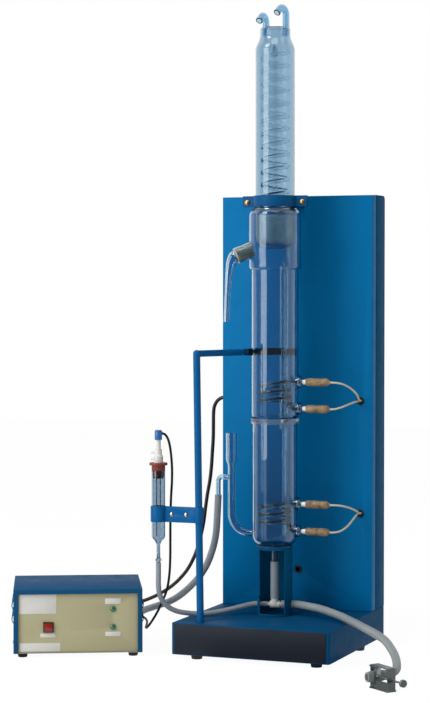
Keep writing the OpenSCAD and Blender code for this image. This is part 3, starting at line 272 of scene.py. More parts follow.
# Plated or bare metal with fine rubbed lines that break up its highlight
def platedMetal(name, colour, roughness, line=0.8):
    material, tree, shader = startMaterial(name, {"Base Color": hexColour(colour), "Metallic": 1.0})
    place = addNode(tree, "ShaderNodeTexCoord")
    rubbed = addNode(tree, "ShaderNodeTexNoise", {},
                     {"Vector": place.outputs["Object"], "Scale": 1 / (line * mm), "Detail": 4.0,
                      "Roughness": 0.65})
    rough = addNode(tree, "ShaderNodeMapRange", {},
                    {"Value": rubbed.outputs["Fac"], "To Min": roughness - 0.1, "To Max": roughness + 0.14})
    bump = addNode(tree, "ShaderNodeBump", {},
                   {"Height": rubbed.outputs["Fac"], "Strength": 0.25, "Distance": 0.02 * mm})
    feed(tree, shader, {"Roughness": rough.outputs[0], "Normal": bump.outputs[0]})
    return material


# Lamp-blown glass: clear, faintly blue where the eye looks along the wall, and not quite even,
# so that the tall reflections waver. The waves are 18 mm apart and, as in drawn tubing, long in Z.
def blownGlass(name, through, tint, density, ior=1.47, wave=0.05):
    surface = {"Base Color": hexColour(through), "Transmission Weight": 1.0, "Roughness": 0.0, "IOR": ior}
    material, tree, shader = startMaterial(name, surface)
    place = addNode(tree, "ShaderNodeTexCoord")
    drawn = addNode(tree, "ShaderNodeMapping", {},
                    {"Vector": place.outputs["Object"], "Scale": (1, 1, 0.12)})
    waves = addNode(tree, "ShaderNodeTexNoise", {},
                    {"Vector": drawn.outputs[0], "Scale": 1 / (18 * mm), "Detail": 1.5})
    bump = addNode(tree, "ShaderNodeBump", {},
                   {"Height": waves.outputs["Fac"], "Strength": 0.5, "Distance": wave * mm})
    inside = addNode(tree, "ShaderNodeVolumeAbsorption", {}, {"Color": hexColour(tint), "Density": density})
    feed(tree, outputOf(tree), {"Volume": inside.outputs[0]})
    feed(tree, shader, {"Normal": bump.outputs[0]})
    return material


# Ground or fused glass: matt and uneven, so it lets light through but no picture.
# The grind itself is finer than 0.1 mm; what shows is the patchy fit of the two faces, 2 to 9 mm wide.
def groundGlass(name, colour, roughness, patch, clear):
    surface = {"Base Color": hexColour(colour), "Transmission Weight": clear, "IOR": 1.47}
    material, tree, shader = startMaterial(name, surface)
    place = addNode(tree, "ShaderNodeTexCoord")
    grind = addNode(tree, "ShaderNodeTexNoise", {},
                    {"Vector": place.outputs["Object"], "Scale": 1 / (patch * mm), "Detail": 4.0,
                     "Roughness": 0.6})
    rough = addNode(tree, "ShaderNodeMapRange", {},
                    {"Value": grind.outputs["Fac"], "To Min": roughness - 0.15, "To Max": roughness + 0.15})
    bump = addNode(tree, "ShaderNodeBump", {},
                   {"Height": grind.outputs["Fac"], "Strength": 0.8, "Distance": 0.12 * patch * mm})
    feed(tree, shader, {"Roughness": rough.outputs[0], "Normal": bump.outputs[0]})
    return material


# Silicone hose: milky, soft, with the light coming partly through its wall
def siliconeHose(name, colour, clear=0.35):
    surface = {"Transmission Weight": clear, "IOR": 1.41, "Subsurface Weight": 0.15,
               "Subsurface Scale": 1.0, "Subsurface Radius": (4 * mm, 5 * mm, 6 * mm)}
    material, tree, shader = startMaterial(name, surface)
    along = addNode(tree, "ShaderNodeUVMap", {"uv_map": "alongTube"})
    # faint bands of dust and handling, some 30 mm long
    bands = addNode(tree, "ShaderNodeMapping", {}, {"Vector": along.outputs[0], "Scale": (1.5, 33, 1)})
    cloud = addNode(tree, "ShaderNodeTexNoise", {},
                    {"Vector": bands.outputs[0], "Scale": 1.0, "Detail": 3.0})
    base = hexColour(colour)
    deep = tuple(v * 0.8 for v in base[:3]) + (1.0,)
    tone = addNode(tree, "ShaderNodeMix", {"data_type": "RGBA"},
                   {0: cloud.outputs["Fac"], 6: base, 7: deep})
    rough = addNode(tree, "ShaderNodeMapRange", {},
                    {"Value": cloud.outputs["Fac"], "To Min": 0.28, "To Max": 0.45})
    feed(tree, shader, {"Base Color": tone.outputs[2], "Roughness": rough.outputs[0]})
    return material


# PVC cable sheath: black, half matt, with the faint lengthwise lines of extrusion,
# 18 of them round it and each some 125 mm long
def cableSheath(name, colour):
    material, tree, shader = startMaterial(name, {"Base Color": hexColour(colour), "IOR": 1.5})
    along = addNode(tree, "ShaderNodeUVMap", {"uv_map": "alongTube"})
    lines = addNode(tree, "ShaderNodeMapping", {}, {"Vector": along.outputs[0], "Scale": (18, 8, 1)})
    streak = addNode(tree, "ShaderNodeTexNoise", {},
                     {"Vector": lines.outputs[0], "Scale": 1.0, "Detail": 3.0})
    rough = addNode(tree, "ShaderNodeMapRange", {},
                    {"Value": streak.outputs["Fac"], "To Min": 0.32, "To Max": 0.55})
    bump = addNode(tree, "ShaderNodeBump", {},
                   {"Height": streak.outputs["Fac"], "Strength": 0.3, "Distance": 0.05 * mm})
    feed(tree, shader, {"Roughness": rough.outputs[0], "Normal": bump.outputs[0]})
    return material


# Braided fibreglass sleeve: cream yarns that cross on the slant, each about 1 mm wide
def braidedSleeve(name, pale, deep, yarns=10, pitch=2.2):
    material, tree, shader = startMaterial(name, {"Roughness": 0.8, "IOR": 1.45, "Sheen Weight": 0.2})
    along = addNode(tree, "ShaderNodeUVMap", {"uv_map": "alongTube"})
    parts = addNode(tree, "ShaderNodeSeparateXYZ", {}, {0: along.outputs[0]})
    turn = addNode(tree, "ShaderNodeMath", {"operation": "MULTIPLY"},
                   {0: parts.outputs[0], 1: 2 * math.pi * yarns})
    run = addNode(tree, "ShaderNodeMath", {"operation": "MULTIPLY"},
                  {0: parts.outputs[1], 1: 2 * math.pi / (pitch * mm)})
    left = addNode(tree, "ShaderNodeMath", {"operation": "ADD"}, {0: turn.outputs[0], 1: run.outputs[0]})
    right = addNode(tree, "ShaderNodeMath", {"operation": "SUBTRACT"},
                    {0: turn.outputs[0], 1: run.outputs[0]})
    waveA = addNode(tree, "ShaderNodeMath", {"operation": "SINE"}, {0: left.outputs[0]})
    waveB = addNode(tree, "ShaderNodeMath", {"operation": "SINE"}, {0: right.outputs[0]})
    weave = addNode(tree, "ShaderNodeMath", {"operation": "MULTIPLY"},
                    {0: waveA.outputs[0], 1: waveB.outputs[0]})
    height = addNode(tree, "ShaderNodeMapRange", {}, {"Value": weave.outputs[0], "From Min": -1.0})
    # painted shade: the low parts of the weave, between the yarns, take the darker `deep` colour
    tone = addNode(tree, "ShaderNodeMix", {"data_type": "RGBA"},
                   {0: height.outputs[0], 6: hexColour(deep), 7: hexColour(pale)})
    bump = addNode(tree, "ShaderNodeBump", {},
                   {"Height": height.outputs[0], "Strength": 0.8, "Distance": 0.25 * mm})
    feed(tree, shader, {"Base Color": tone.outputs[2], "Normal": bump.outputs[0]})
    return material


# Fired ceramic: speckled and unglazed, with lighter and darker burns from the heat
def firedCeramic(name, colour, burn, speck=2.5):
    material, tree, shader = startMaterial(name, {"IOR": 1.5})
    place = addNode(tree, "ShaderNodeTexCoord")
    clouds = addNode(tree, "ShaderNodeTexNoise", {},
                     {"Vector": place.outputs["Object"], "Scale": 1 / (11 * mm), "Detail": 5.0,
                      "Roughness": 0.65})
    spread = addNode(tree, "ShaderNodeMapRange", {},
                     {"Value": clouds.outputs["Fac"], "From Min": 0.35, "From Max": 0.65})
    tone = addNode(tree, "ShaderNodeMix", {"data_type": "RGBA"},
                   {0: spread.outputs[0], 6: hexColour(colour), 7: hexColour(burn)})
    rough = addNode(tree, "ShaderNodeMapRange", {},
                    {"Value": clouds.outputs["Fac"], "To Min": 0.35, "To Max": 0.7})
    grit = addNode(tree, "ShaderNodeTexNoise", {},
                   {"Vector": place.outputs["Object"], "Scale": 1 / (speck * mm), "Detail": 3.0})
    bump = addNode(tree, "ShaderNodeBump", {},
                   {"Height": grit.outputs["Fac"], "Strength": 0.5, "Distance": 0.15 * mm})
    feed(tree, shader,
         {"Base Color": tone.outputs[2], "Roughness": rough.outputs[0], "Normal": bump.outputs[0]})
    return material


panelBlue = coatedSteel("powderCoatedPanel", "#0072AC", "#0068A0", 0.42, shine=0.05)
coverBlue = coatedSteel("powderCoatedCover", "#03557F", "#034B72", 0.5, shine=0.02)
baseBlue = coatedSteel("powderCoatedBase", "#0A4F7C", "#08456C", 0.45, shine=0.02)
rodBlue = coatedSteel("paintedRod", "#045F9C", "#03558C", 0.34, shine=0.12)
strapBlue = coatedSteel("paintedStrap", "#045488", "#034A78", 0.4, shine=0.1)
navyBlue = coatedSteel("paintedNavy", "#0D3556", "#0A2A47", 0.45, shine=0.1)
caseBlue = coatedSteel("hammeredCase", "#1B5480", "#16486F", 0.5, shine=0.02)
plateBlack = coatedSteel("anodisedNameplate", "#1A2230", "#141B27", 0.42)
frontBeige = coatedSteel("enamelledFront", "#B4AF8C", "#A9A483", 0.38)
zincSheet = platedMetal("zincPlatedSheet", "#B4B6B4", 0.42)
zincScrew = platedMetal("zincPlatedScrew", "#C8C6BE", 0.3)
brassScrew = platedMetal("brassPlatedScrew", "#C6A06A", 0.3)
nickelClip = platedMetal("nickelPlatedClip", "#9BA3A4", 0.34)
blackRubber = mouldedSkin("mouldedRubber", "#151618", 0.62)
stopperRubber = mouldedSkin("pressedRubberStopper", "#8A3A2C", 0.5, grain=1.2, depth=0.06, cloud=0.25)
whiteNylon = mouldedSkin("mouldedNylon", "#E2E1DC", 0.38)
bluePlastic = mouldedSkin("mouldedBlueCap", "#1E6CB0", 0.3, coat=0.3)
blackPlastic = mouldedSkin("mouldedBlackPlastic", "#141517", 0.4)
redPlastic = mouldedSkin("polishedRedButton", "#8E1B16", 0.24, coat=0.3)
greenLens = mouldedSkin("tintedLens", "#1F6B4A", 0.12, coat=1.0)
labelPlastic = mouldedSkin("blankLabel", "#D9D8D2", 0.45)
linerRubber = mouldedSkin("darkLiner", "#1B3F5E", 0.4)
whiteBead = mouldedSkin("glazedBead", "#EDECE6", 0.22, coat=0.4)
ironCore = platedMetal("laminatedIron", "#6B5F52", 0.5, line=2.0)
boardGreen = mouldedSkin("solderMaskBoard", "#1E6A3C", 0.35)
clearGlass = blownGlass("blownBorosilicate", "#CCE4EE", "#9FCCE6", 20)
# partly painted reflection: the condenser's blue is stronger than its glass's own faint tint, and stands in
# for the dark blue surroundings seen through its walls, deepest at its edges
jacketGlass = blownGlass("blownCondenser", "#C6DCE8", "#3F86BC", 44)
coilGlass = blownGlass("drawnCoilTube", "#EEF5F8", "#C8DCE8", 4)
vapourGlass = blownGlass("drawnVapourTube", "#DCE6EE", "#A8C4DC", 18)
nozzleGlass = blownGlass("blownNozzle", "#B4D6EA", "#6FB0DC", 22)
quartzTube = blownGlass("drawnQuartz", "#E6E8EA", "#DCE6EC", 10, ior=1.458)
spoutGlass = blownGlass("blownSpout", "#D8E6EE", "#A9CCE6", 16)
sensorGlass = blownGlass("blownSensorTube", "#BACBD8", "#A9CCE6", 30)
groundJoint = groundGlass("groundJoint", "#F6FAFC", roughness=0.15, patch=9.0, clear=0.8)
sideJoint = groundGlass("groundSideJoint", "#E6D9C8", roughness=0.45, patch=4.0, clear=0.3)
sealRing = groundGlass("fusedSealRing", "#D6DCE0", roughness=0.2, patch=3.0, clear=0.9)
softDrop = groundGlass("softDropHose", "#A9B9C4", roughness=0.35, patch=2.0, clear=0.4)  # a clouded hose
paleHose = siliconeHose("siliconeHose", "#B4BEC6")
drainRubber = siliconeHose("agedSiliconeHose", "#A9B0B2", clear=0.2)
blackSheath = cableSheath("pvcSheath", "#0F1012")
# the second colour is the painted shade in the hollows between the yarns
creamBraid = braidedSleeve("fibreglassBraid", "#E8E2CE", "#B5AC90")
sleeveClay = firedCeramic("firedSleeve", "#A98E68", "#5E4C36")
heaterWire = platedMetal("oxidisedHeaterWire", "#241C16", 0.5)
print("materials made")


cordSpec = {"step": 4, "sides": 20}

# each cord follows its solid's own route, with sizes in millimetres
sensorHoseSpec = {"route": [
    (-185.5, -139, 169), (-185.5, -139, 150), (-186, -138, 130), (-186, -134, 113), (-182.5, -128, 98),
    (-174.5, -119, 85.5), (-163, -109, 77.5), (-151, -99, 73.5), (-138, -88, 71.2), (-124, -78, 70.3),
    (-109, -66, 70.8), (-94, -52, 73), (-80, -39, 76), (-66, -28, 79.5), (-54, -19, 82.5),
    (-44, -14.7, 84), (-33.3, -12.05, 84), (-21.6, -9.1, 84)], "radius": 4.75, "wall": 1.5}
drainHoseSpec = {"route": [
    (2.6, -3.1, 84), (17.2, 0.5, 84), (30, 1.6, 84.6), (46, -4, 84.5), (62, -12, 84), (84, -20, 82.5),
    (108, -35, 80), (132, -50, 76.7), (156, -72, 73.6), (179, -98, 72), (201, -122, 69.5),
    (227, -146, 65), (252, -170, 59), (273, -200, 50), (288, -226, 41), (297, -248, 32.5),
    (299.5, -262, 26.5), (294, -275, 22), (281, -285.4, 20), (274.63, -294, 20), (268.5, -301.9, 20),
    (262.9, -309.1, 20)], "radius": 7.25, "wall": 2.2,
    "pinchAt": (274.63, -294, 20), "pinchFull": 10, "pinchEnd": 24, "pinched": 6.8, "bulge": 0.35,
    "clipTurn": -38}
overflowHoseSpec = {"route": [
    (-121, -6, 282), (-122, -6, 262), (-124, -4, 240), (-126.5, -1, 218), (-131.5, 4, 197),
    (-141, 11, 172), (-155, 20, 146), (-174.5, 30, 121), (-198, 40, 99), (-220, 48, 82),
    (-244, 55, 68), (-275, 65, 56), (-305, 78, 45), (-334, 96, 31), (-359, 115, 18),
    (-382, 134.5, 9), (-402, 150, 6.8)], "radius": 6.5, "wall": 1.9, "coilClear": 0.1,
    "coilCentre": (-446, 75), "coilStart": 86, "coilStep": 14, "coilFrom": 60, "coilTurns": 1.6}
sensorCableSpec = {"route": [
    (-178, -139, 404), (-173.5, -138, 402.5), (-169.5, -135, 396), (-167, -131, 384), (-165.5, -127, 364),
    (-165, -124, 340), (-166, -122, 315), (-168, -121, 290), (-169.5, -120, 262), (-170, -120, 235),
    (-170.5, -119, 205), (-171.5, -117, 178), (-174, -114, 150), (-179, -110, 125), (-186, -105, 107),
    (-195, -99, 91), (-206, -90, 75), (-218, -80, 60), (-231, -68, 46), (-243, -54, 36),
    (-254, -36, 30), (-264, -15, 28), (-272, 7, 29), (-280, 27, 31), (-290, 42, 34),
    (-303, 49, 37), (-316, 45, 39), (-323.5, 33, 40), (-324, 20, 40), (-320.1, 9.4, 40)], "radius": 2.25}
powerCableSpec = {"route": [
    (-160, 140, 457), (-171, 140, 455), (-180, 140, 449), (-186, 140, 439), (-188, 140, 427),
    (-188, 139, 405), (-188, 138, 377), (-189, 136, 350), (-190.5, 135, 322), (-193, 133, 295),
    (-197, 130, 268), (-200, 127, 240), (-203, 125, 213), (-209, 122, 182), (-218, 118, 151),
    (-231, 114, 124), (-247, 110, 103.5), (-263, 106, 88.5), (-281, 101, 76), (-300, 96, 66),
    (-320, 91, 58), (-338, 84, 53), (-353, 73, 51), (-362, 59, 50), (-366, 43, 50),
    (-364.5, 26, 50), (-357.4, 6.2, 50)], "radius": 3.5}


# the flat spiral at the overflow hose's end
def coilRoute(spec):
    for i in range(round(spec["coilTurns"] * stepsPerTurn) + 1):
        angle = math.radians(spec["coilFrom"] + 360 / stepsPerTurn * i)
        r = spec["coilStart"] - spec["coilStep"] * i / stepsPerTurn
        yield (spec["coilCentre"][0] + r * math.cos(angle), spec["coilCentre"][1] + r * math.sin(angle),
               spec["radius"] + spec["coilClear"])


# the clip squeezes the drain hose flat between its jaw and its frame
def squeezed(point, offset):
    spec = drainHoseSpec
    away = (point - Vector(spec["pinchAt"]) * mm).length / mm
    near = min(1.0, max(0.0, (spec["pinchEnd"] - away) / (spec["pinchEnd"] - spec["pinchFull"])))
    press = near * near * (3 - 2 * near)
    turn = math.radians(spec["clipTurn"])
    side = Vector((math.cos(turn), math.sin(turn), 0))
    out = offset.dot(side)
    return (offset - side * out * press * (1 - spec["pinched"] / 2 / spec["radius"])
            + Vector((0, 0, offset.z * spec["bulge"] * press)))


# a hose or a cable, with its path
def cordTube(name, spec, material, cadNodes, bend=None):
    route = list(spec["route"]) + (list(coilRoute(spec)) if "coilTurns" in spec else [])
    path = smoothRoute(route, cordSpec["step"] * mm)
    wall = spec["wall"] * mm if "wall" in spec else None
    mesh = tubeMesh(name, path, [spec["radius"] * mm] * len(path), cordSpec["sides"], wall, bend)
    return handOver(linkObject(name, mesh), material, *cadNodes), path


sensorHose, sensorHosePath = cordTube("sensorHose", sensorHoseSpec, paleHose, ["sensor_hose"])
drainHose, drainHosePath = cordTube("drainHose", drainHoseSpec, drainRubber, ["drain_hose"], squeezed)
overflowHose, overflowPath = cordTube("overflowHose", overflowHoseSpec, paleHose,
                                      ["overflow_hose", "overflow_coil"])
sensorCable, sensorCablePath = cordTube("sensorCable", sensorCableSpec, blackSheath, ["sensor_cable"])
powerCable, powerCablePath = cordTube("powerCable", powerCableSpec, blackSheath, ["power_cable"])

clipFrame = finishedCopy("clipFrame", "clip_frame", nickelClip)
clipJaw = finishedCopy("clipJaw", "clip_jaw", nickelClip, 0.2)
clipScrew = finishedCopy("clipScrew", "clip_screw", nickelClip)

print("hoses and cables laid")


# sheet metal, castings and mouldings: piece, node, finish, and rounding of its edges in millimetres
plainPieces = [
    ("baseHousing", "base_housing", baseBlue, 1.0),
    ("basePlate", "base_nameplate", plateBlack, 0.25),
    ("baseFloor", "base_bottom_plate", navyBlue, 0.3),
    ("baseFeet", "base_feet", blackRubber, 0.4),
    ("footScrews", "foot_screws", zincScrew, 0.0),
    ("backPanel", "back_panel", panelBlue, 1.0),
    ("rearCover", "rear_cover", coverBlue, 0.5),
    ("coverScrews", "cover_screws", zincScrew, 0.0),
    ("panelGrommets", "panel_grommets", blackRubber, 0.0),
    ("uprightRod", "upright_rod", rodBlue, 0.0),
    ("uprightFixings", "upright_fixings", zincScrew, 0.0),
    ("cradleRing", "cradle_ring", navyBlue, 0.3),
    ("clampBracket", "clamp_bracket", coverBlue, 0.3),
    ("clampStrap", "clamp_strap", strapBlue, 0.3),
    ("clampScrews", "clamp_screws", brassScrew, 0.0),
    ("glassLiners", "glass_liners", linerRubber, 0.0),
    ("supportPipe", "support_pipe", coverBlue, 0.3),
    ("sensorStopper", "sensor_stopper", stopperRubber, 0.5),
    ("sensorPlug", "sensor_plug", whiteNylon, 0.0),
    ("sensorElectrodes", "sensor_electrodes", zincScrew, 0.0),
    ("sensorCap", "sensor_cap", bluePlastic, 0.4),
    ("sensorBracket", "sensor_bracket", rodBlue, 0.3),
    ("bracketScrews", "bracket_screws", zincScrew, 0.0),
    ("dropHose", "drop_hose", softDrop, 0.0),
    ("hoseTee", "hose_tee", whiteNylon, 0.0),
    ("cableGlands", "cable_glands", blackPlastic, 0.0),
    ("controllerCase", "controller_cover", caseBlue, 0.5),
    ("controllerChassis", "controller_chassis", zincSheet, 0.2),
    ("controllerFront", "controller_front", frontBeige, 0.2),
    ("controllerLabels", "controller_labels", labelPlastic, 0.12),
    ("controllerFeet", "controller_feet", blackRubber, 0.5),
    ("buttonBezel", "button_bezel", blackPlastic, 0.4),
    ("pushButton", "push_button", redPlastic, 0.8),
    ("indicatorLamps", "indicator_lamps", greenLens, 0.0),
    ("mainsInlet", "mains_inlet", blackPlastic, 0.4),
    ("transformerCore", "transformer", ironCore, 0.4),
    ("circuitBoard", "circuit_board", boardGreen, 0.0),
    ("heaterSleeves", "heater_connectors", sleeveClay, 0.0),
    ("heaterBeads", "heater_beads", whiteBead, 0.4),
]
for name, node, material, edge in plainPieces:
    finishedCopy(name, node, material, edge)
print("metal and moulded pieces finished")


# piece, node, glass
glassPieces = [
    ("lowerBoiler", "lower_boiler", clearGlass),
    ("upperBoiler", "upper_boiler", clearGlass),
    ("vapourTube", "vapour_tube", vapourGlass),
    ("condenserJacket", "condenser_jacket", jacketGlass),
    ("waterNozzles", "water_nozzles", nozzleGlass),
    ("deliverySpout", "delivery_spout", spoutGlass),
    ("levelDevice", "level_device", clearGlass),
    ("sensorTube", "sensor_tube", sensorGlass),
]


column = Vector((-9, -6, 0))  # the axis that both boilers and the condenser share


# distance from the column's axis, and height, in millimetres
def onColumn(point):
    return math.hypot(point.x / mm - column.x, point.y / mm - column.y), point.z / mm


# where glass is ground or fused, in millimetres: along the side joint's falling axis, and up the column
jointSpec = {"height": 755, "turn": 212, "fall": 22, "from": 40, "to": 78, "bore": 13.4}
socketSpec = {"from": 718, "to": 800, "inner": 31, "outer": 36.6, "cuts": (718, 742, 760, 780, 800)}
sealSpec = {"from": 417, "to": 429, "inner": 42}
fall, turn = math.radians(jointSpec["fall"]), math.radians(jointSpec["turn"])
jointAxis = Vector((math.cos(fall) * math.cos(turn), math.cos(fall) * math.sin(turn), -math.sin(fall)))


# the ground faces of the spout, in the side joint that holds it
def onSideJoint(point):
    out = point / mm - column - Vector((0, 0, jointSpec["height"]))
    run = out.dot(jointAxis)
    return jointSpec["from"] < run < jointSpec["to"] and (out - jointAxis * run).length < jointSpec["bore"]


# the ground faces of the condenser's foot, in the head of the upper boiler
def onSocket(point):
    r, z = onColumn(point)
    return socketSpec["from"] < z < socketSpec["to"] and socketSpec["inner"] < r < socketSpec["outer"]


# the rings where the two boilers are fused together
def onSeal(point):
    r, z = onColumn(point)
    return sealSpec["from"] < z < sealSpec["to"] and r > sealSpec["inner"]


groundFaces = {
    "lower_boiler": {"material": sealRing, "where": onSeal, "cuts": ()},
    "upper_boiler": {"material": sealRing, "where": onSeal, "cuts": ()},
    "condenser_jacket": {"material": groundJoint, "where": onSocket, "cuts": socketSpec["cuts"]},
    "delivery_spout": {"material": sideJoint, "where": onSideJoint, "cuts": ()},
}
for name, node, material in glassPieces:
    finishedCopy(name, node, material, ground=groundFaces.get(node))
print("glass finished")


tubeInputs = {"Geometry": "Geometry", "Radius": "Float", "Sides": "Int", "Curl Radius": "Float",
              "Curl Pitch": "Float", "Points": "Int", "Material": "Material"}


# a tube swept along each curve, which may curl round that curve as a wound wire does
def tubeTree():
    tree = bpy.data.node_groups.new("tubeAlongCurve", "GeometryNodeTree")
    for name, kind in tubeInputs.items():
        tree.interface.new_socket(name, in_out="INPUT", socket_type="NodeSocket" + kind)
    tree.interface.new_socket("Geometry", in_out="OUTPUT", socket_type="NodeSocketGeometry")
    given = addNode(tree, "NodeGroupInput")
    line = addNode(tree, "GeometryNodeResampleCurve", {},
                   {"Curve": given.outputs["Geometry"], "Count": given.outputs["Points"]})
    # curls the line round itself: normal and binormal, turned with the distance along it
    spot = addNode(tree, "GeometryNodeSplineParameter")
    turns = addNode(tree, "ShaderNodeMath", {"operation": "DIVIDE"},
                    {0: spot.outputs["Length"], 1: given.outputs["Curl Pitch"]})
    angle = addNode(tree, "ShaderNodeMath", {"operation": "MULTIPLY"},
                    {0: turns.outputs[0], 1: 2 * math.pi})
    cosine = addNode(tree, "ShaderNodeMath", {"operation": "COSINE"}, {0: angle.outputs[0]})
    sine = addNode(tree, "ShaderNodeMath", {"operation": "SINE"}, {0: angle.outputs[0]})
    normal = addNode(tree, "GeometryNodeInputNormal")
    tangent = addNode(tree, "GeometryNodeInputTangent")
    binormal = addNode(tree, "ShaderNodeVectorMath", {"operation": "CROSS_PRODUCT"},
                       {0: tangent.outputs[0], 1: normal.outputs[0]})
    outward = addNode(tree, "ShaderNodeVectorMath", {"operation": "SCALE"},
                      {0: normal.outputs[0], "Scale": cosine.outputs[0]})
    sideways = addNode(tree, "ShaderNodeVectorMath", {"operation": "SCALE"},
                       {0: binormal.outputs[0], "Scale": sine.outputs[0]})
    both = addNode(tree, "ShaderNodeVectorMath", {"operation": "ADD"},
                   {0: outward.outputs[0], 1: sideways.outputs[0]})
    shift = addNode(tree, "ShaderNodeVectorMath", {"operation": "SCALE"},
                    {0: both.outputs[0], "Scale": given.outputs["Curl Radius"]})
    curled = addNode(tree, "GeometryNodeSetPosition", {},
                     {"Geometry": line.outputs[0], "Offset": shift.outputs[0]})
    ring = addNode(tree, "GeometryNodeCurvePrimitiveCircle", {},
                   {"Resolution": given.outputs["Sides"], "Radius": given.outputs["Radius"]})
    tube = addNode(tree, "GeometryNodeCurveToMesh", {},
                   {"Curve": curled.outputs[0], "Profile Curve": ring.outputs[0], "Fill Caps": True})
    smooth = addNode(tree, "GeometryNodeSetShadeSmooth", {}, {"Geometry": tube.outputs[0]})
    real = addNode(tree, "GeometryNodeRealizeInstances", {}, {"Geometry": smooth.outputs[0]})
    coated = addNode(tree, "GeometryNodeSetMaterial", {},
                     {"Geometry": real.outputs[0], "Material": given.outputs["Material"]})
    addNode(tree, "NodeGroupOutput", {}, {"Geometry": coated.outputs[0]})
    return tree


# sets the tree's inputs by their sockets' identifiers and keeps the result as a plain mesh
def runTree(tree, source, name, values):
    modifier = source.modifiers.new("shape", "NODES")
    modifier.node_group = tree
    for socket in tree.interface.items_tree:
        if socket.in_out == "INPUT" and socket.name in values:
            modifier[socket.identifier] = values[socket.name]
    bpy.context.view_layer.update()
    shaped = source.evaluated_get(bpy.context.evaluated_depsgraph_get())
    mesh = bpy.data.meshes.new_from_object(shaped)
    mesh.name = name
    source.modifiers.clear()
    bpy.data.objects.remove(source)
    return linkObject(name, mesh)


# one curve object that holds every line as a spline
def curvesObject(name, lines):
    curve = bpy.data.curves.new(name, "CURVE")
    curve.dimensions = "3D"
    for line in lines:
        spline = curve.splines.new("POLY")
        spline.points.add(len(line) - 1)
        for point, target in zip(spline.points, line):
            point.co = (*target, 1)
    return linkObject(name, curve)


sweptTube = tubeTree()


# `curl` is the radius and the pitch, in millimetres, of a wire's own winding
def sweptPiece(name, node, lines, material, radius, sides, points, curl=(0, 1000)):
    values = {"Radius": radius * mm, "Sides": sides, "Points": points, "Curl Radius": curl[0] * mm,
              "Curl Pitch": curl[1] * mm, "Material": material}
    handOver(runTree(sweptTube, curvesObject(name + "Line", lines), name, values), material, node)


# `radius` is the drawn tube's, a little under the solid's, and the coil starts at `from` degrees
condenserCoilSpec = {"turns": 14, "pitch": 23, "outer": 55, "tube": 8, "radius": 3.95, "sides": 14,
                     "from": 12, "top": 1098, "neck": 1128, "turn": 21.5}


# the coil's line: down from the right nozzle in turns, and back up the middle to the left one
def condenserLine(spec):
    r = (spec["outer"] - spec["tube"]) / 2
    top, neck = spec["top"], spec["neck"]
    low = top - spec["pitch"] * spec["turns"]
    line = [(19.5, 0, neck - 1), (19.7, 0, neck - 9), (20.5, 0.5, neck - 17), (r - 1, 2, neck - 25)]
    for i in range(spec["turns"] * stepsPerTurn + 1):
        angle = math.radians(spec["from"] - 360 / stepsPerTurn * i)
        line.append((r * math.cos(angle), r * math.sin(angle), top - spec["pitch"] * i / stepsPerTurn))
    line += [(r * 0.9, -r * 0.2, low - 6), (r * 0.55, -r * 0.25, low - 10), (5, -4, low - 9),
             (0, 0, low - 1), (0, 0, low + 10), (0, 0, neck - 42), (-2, 0, neck - 30), (-9, 0, neck - 18),
             (-15, 0, neck - 10), (-17, 0, neck - 1)]
    turn = Matrix.Rotation(math.radians(spec["turn"]), 3, "Z")
    return [column + turn @ Vector(p) for p in line]


coilLine = smoothRoute(condenserLine(condenserCoilSpec), lineStep)
sweptPiece("condenserCoil", "condenser_coil", [coilLine], coilGlass, condenserCoilSpec["radius"],
           condenserCoilSpec["sides"], len(coilLine))
print("condenser coil wound")

# each arm: the boiler's radius there, and the heights of the heater's two ends; the line comes back from
# `backFrom` degrees through `backTurn`, at most `backIn` inside its turns
heaterSpec = {"turns": 2.5, "pitch": 13.5, "outer": 62, "tube": 8, "radius": 3.9, "sides": 14, "from": 6,
              "armLength": 6, "inBead": 5, "backFrom": 186, "backTurn": 160, "backIn": 9.5,
              "arms": [(41.5, 221, 271), (43.5, 446, 495)],
              "wire": 0.5, "wireSides": 5, "curlRadius": 1.3, "curlPitch": 2.5, "curlPoints": 10}


# a heater's line: in through its lower arm, up in turns, and back across itself to its upper arm
def heaterLine(spec, wall, low, high):
    r = (spec["outer"] - spec["tube"]) / 2
    rise = spec["turns"] * spec["pitch"]
    start, reach = (low + high) / 2 - rise / 2, wall + spec["armLength"] + spec["inBead"]
    line = [(reach, 0, low), (wall + 2, 0, low), (r + 9, -1, low), (r + 3, -3, low + 2),
            (r, -3, (low + start) / 2), (r, -2.5, start - 2.5)]
    for i in range(round(spec["turns"] * stepsPerTurn) + 1):
        angle = math.radians(360 / stepsPerTurn * i + spec["from"])
        line.append((r * math.cos(angle), r * math.sin(angle), start + spec["pitch"] * i / stepsPerTurn))
    for k in range(1, 6):
        s = k / 6
        angle = math.radians(spec["backFrom"] + spec["backTurn"] * s)
        inner = r - spec["backIn"] * math.sin(math.pi * s)
        line.append((inner * math.cos(angle), inner * math.sin(angle),
                     start + rise + (high - start - rise) * s))
    line += [(r + 2, -3, high), (r + 9, -1, high), (wall + 2, 0, high), (reach, 0, high)]
    return smoothRoute([column + Vector(p) for p in line], lineStep)


heaterLines = [heaterLine(heaterSpec, *arm) for arm in heaterSpec["arms"]]
tubePoints = max(len(line) for line in heaterLines)
curls = max(routeLength(line) for line in heaterLines) / (heaterSpec["curlPitch"] * mm)
sweptPiece("heaterTubes", "heater_coils", heaterLines, quartzTube, heaterSpec["radius"], heaterSpec["sides"],
           tubePoints)
sweptPiece("heaterWires", "heater_elements", heaterLines, heaterWire, heaterSpec["wire"],
           heaterSpec["wireSides"], round(curls * heaterSpec["curlPoints"]),
           (heaterSpec["curlRadius"], heaterSpec["curlPitch"]))

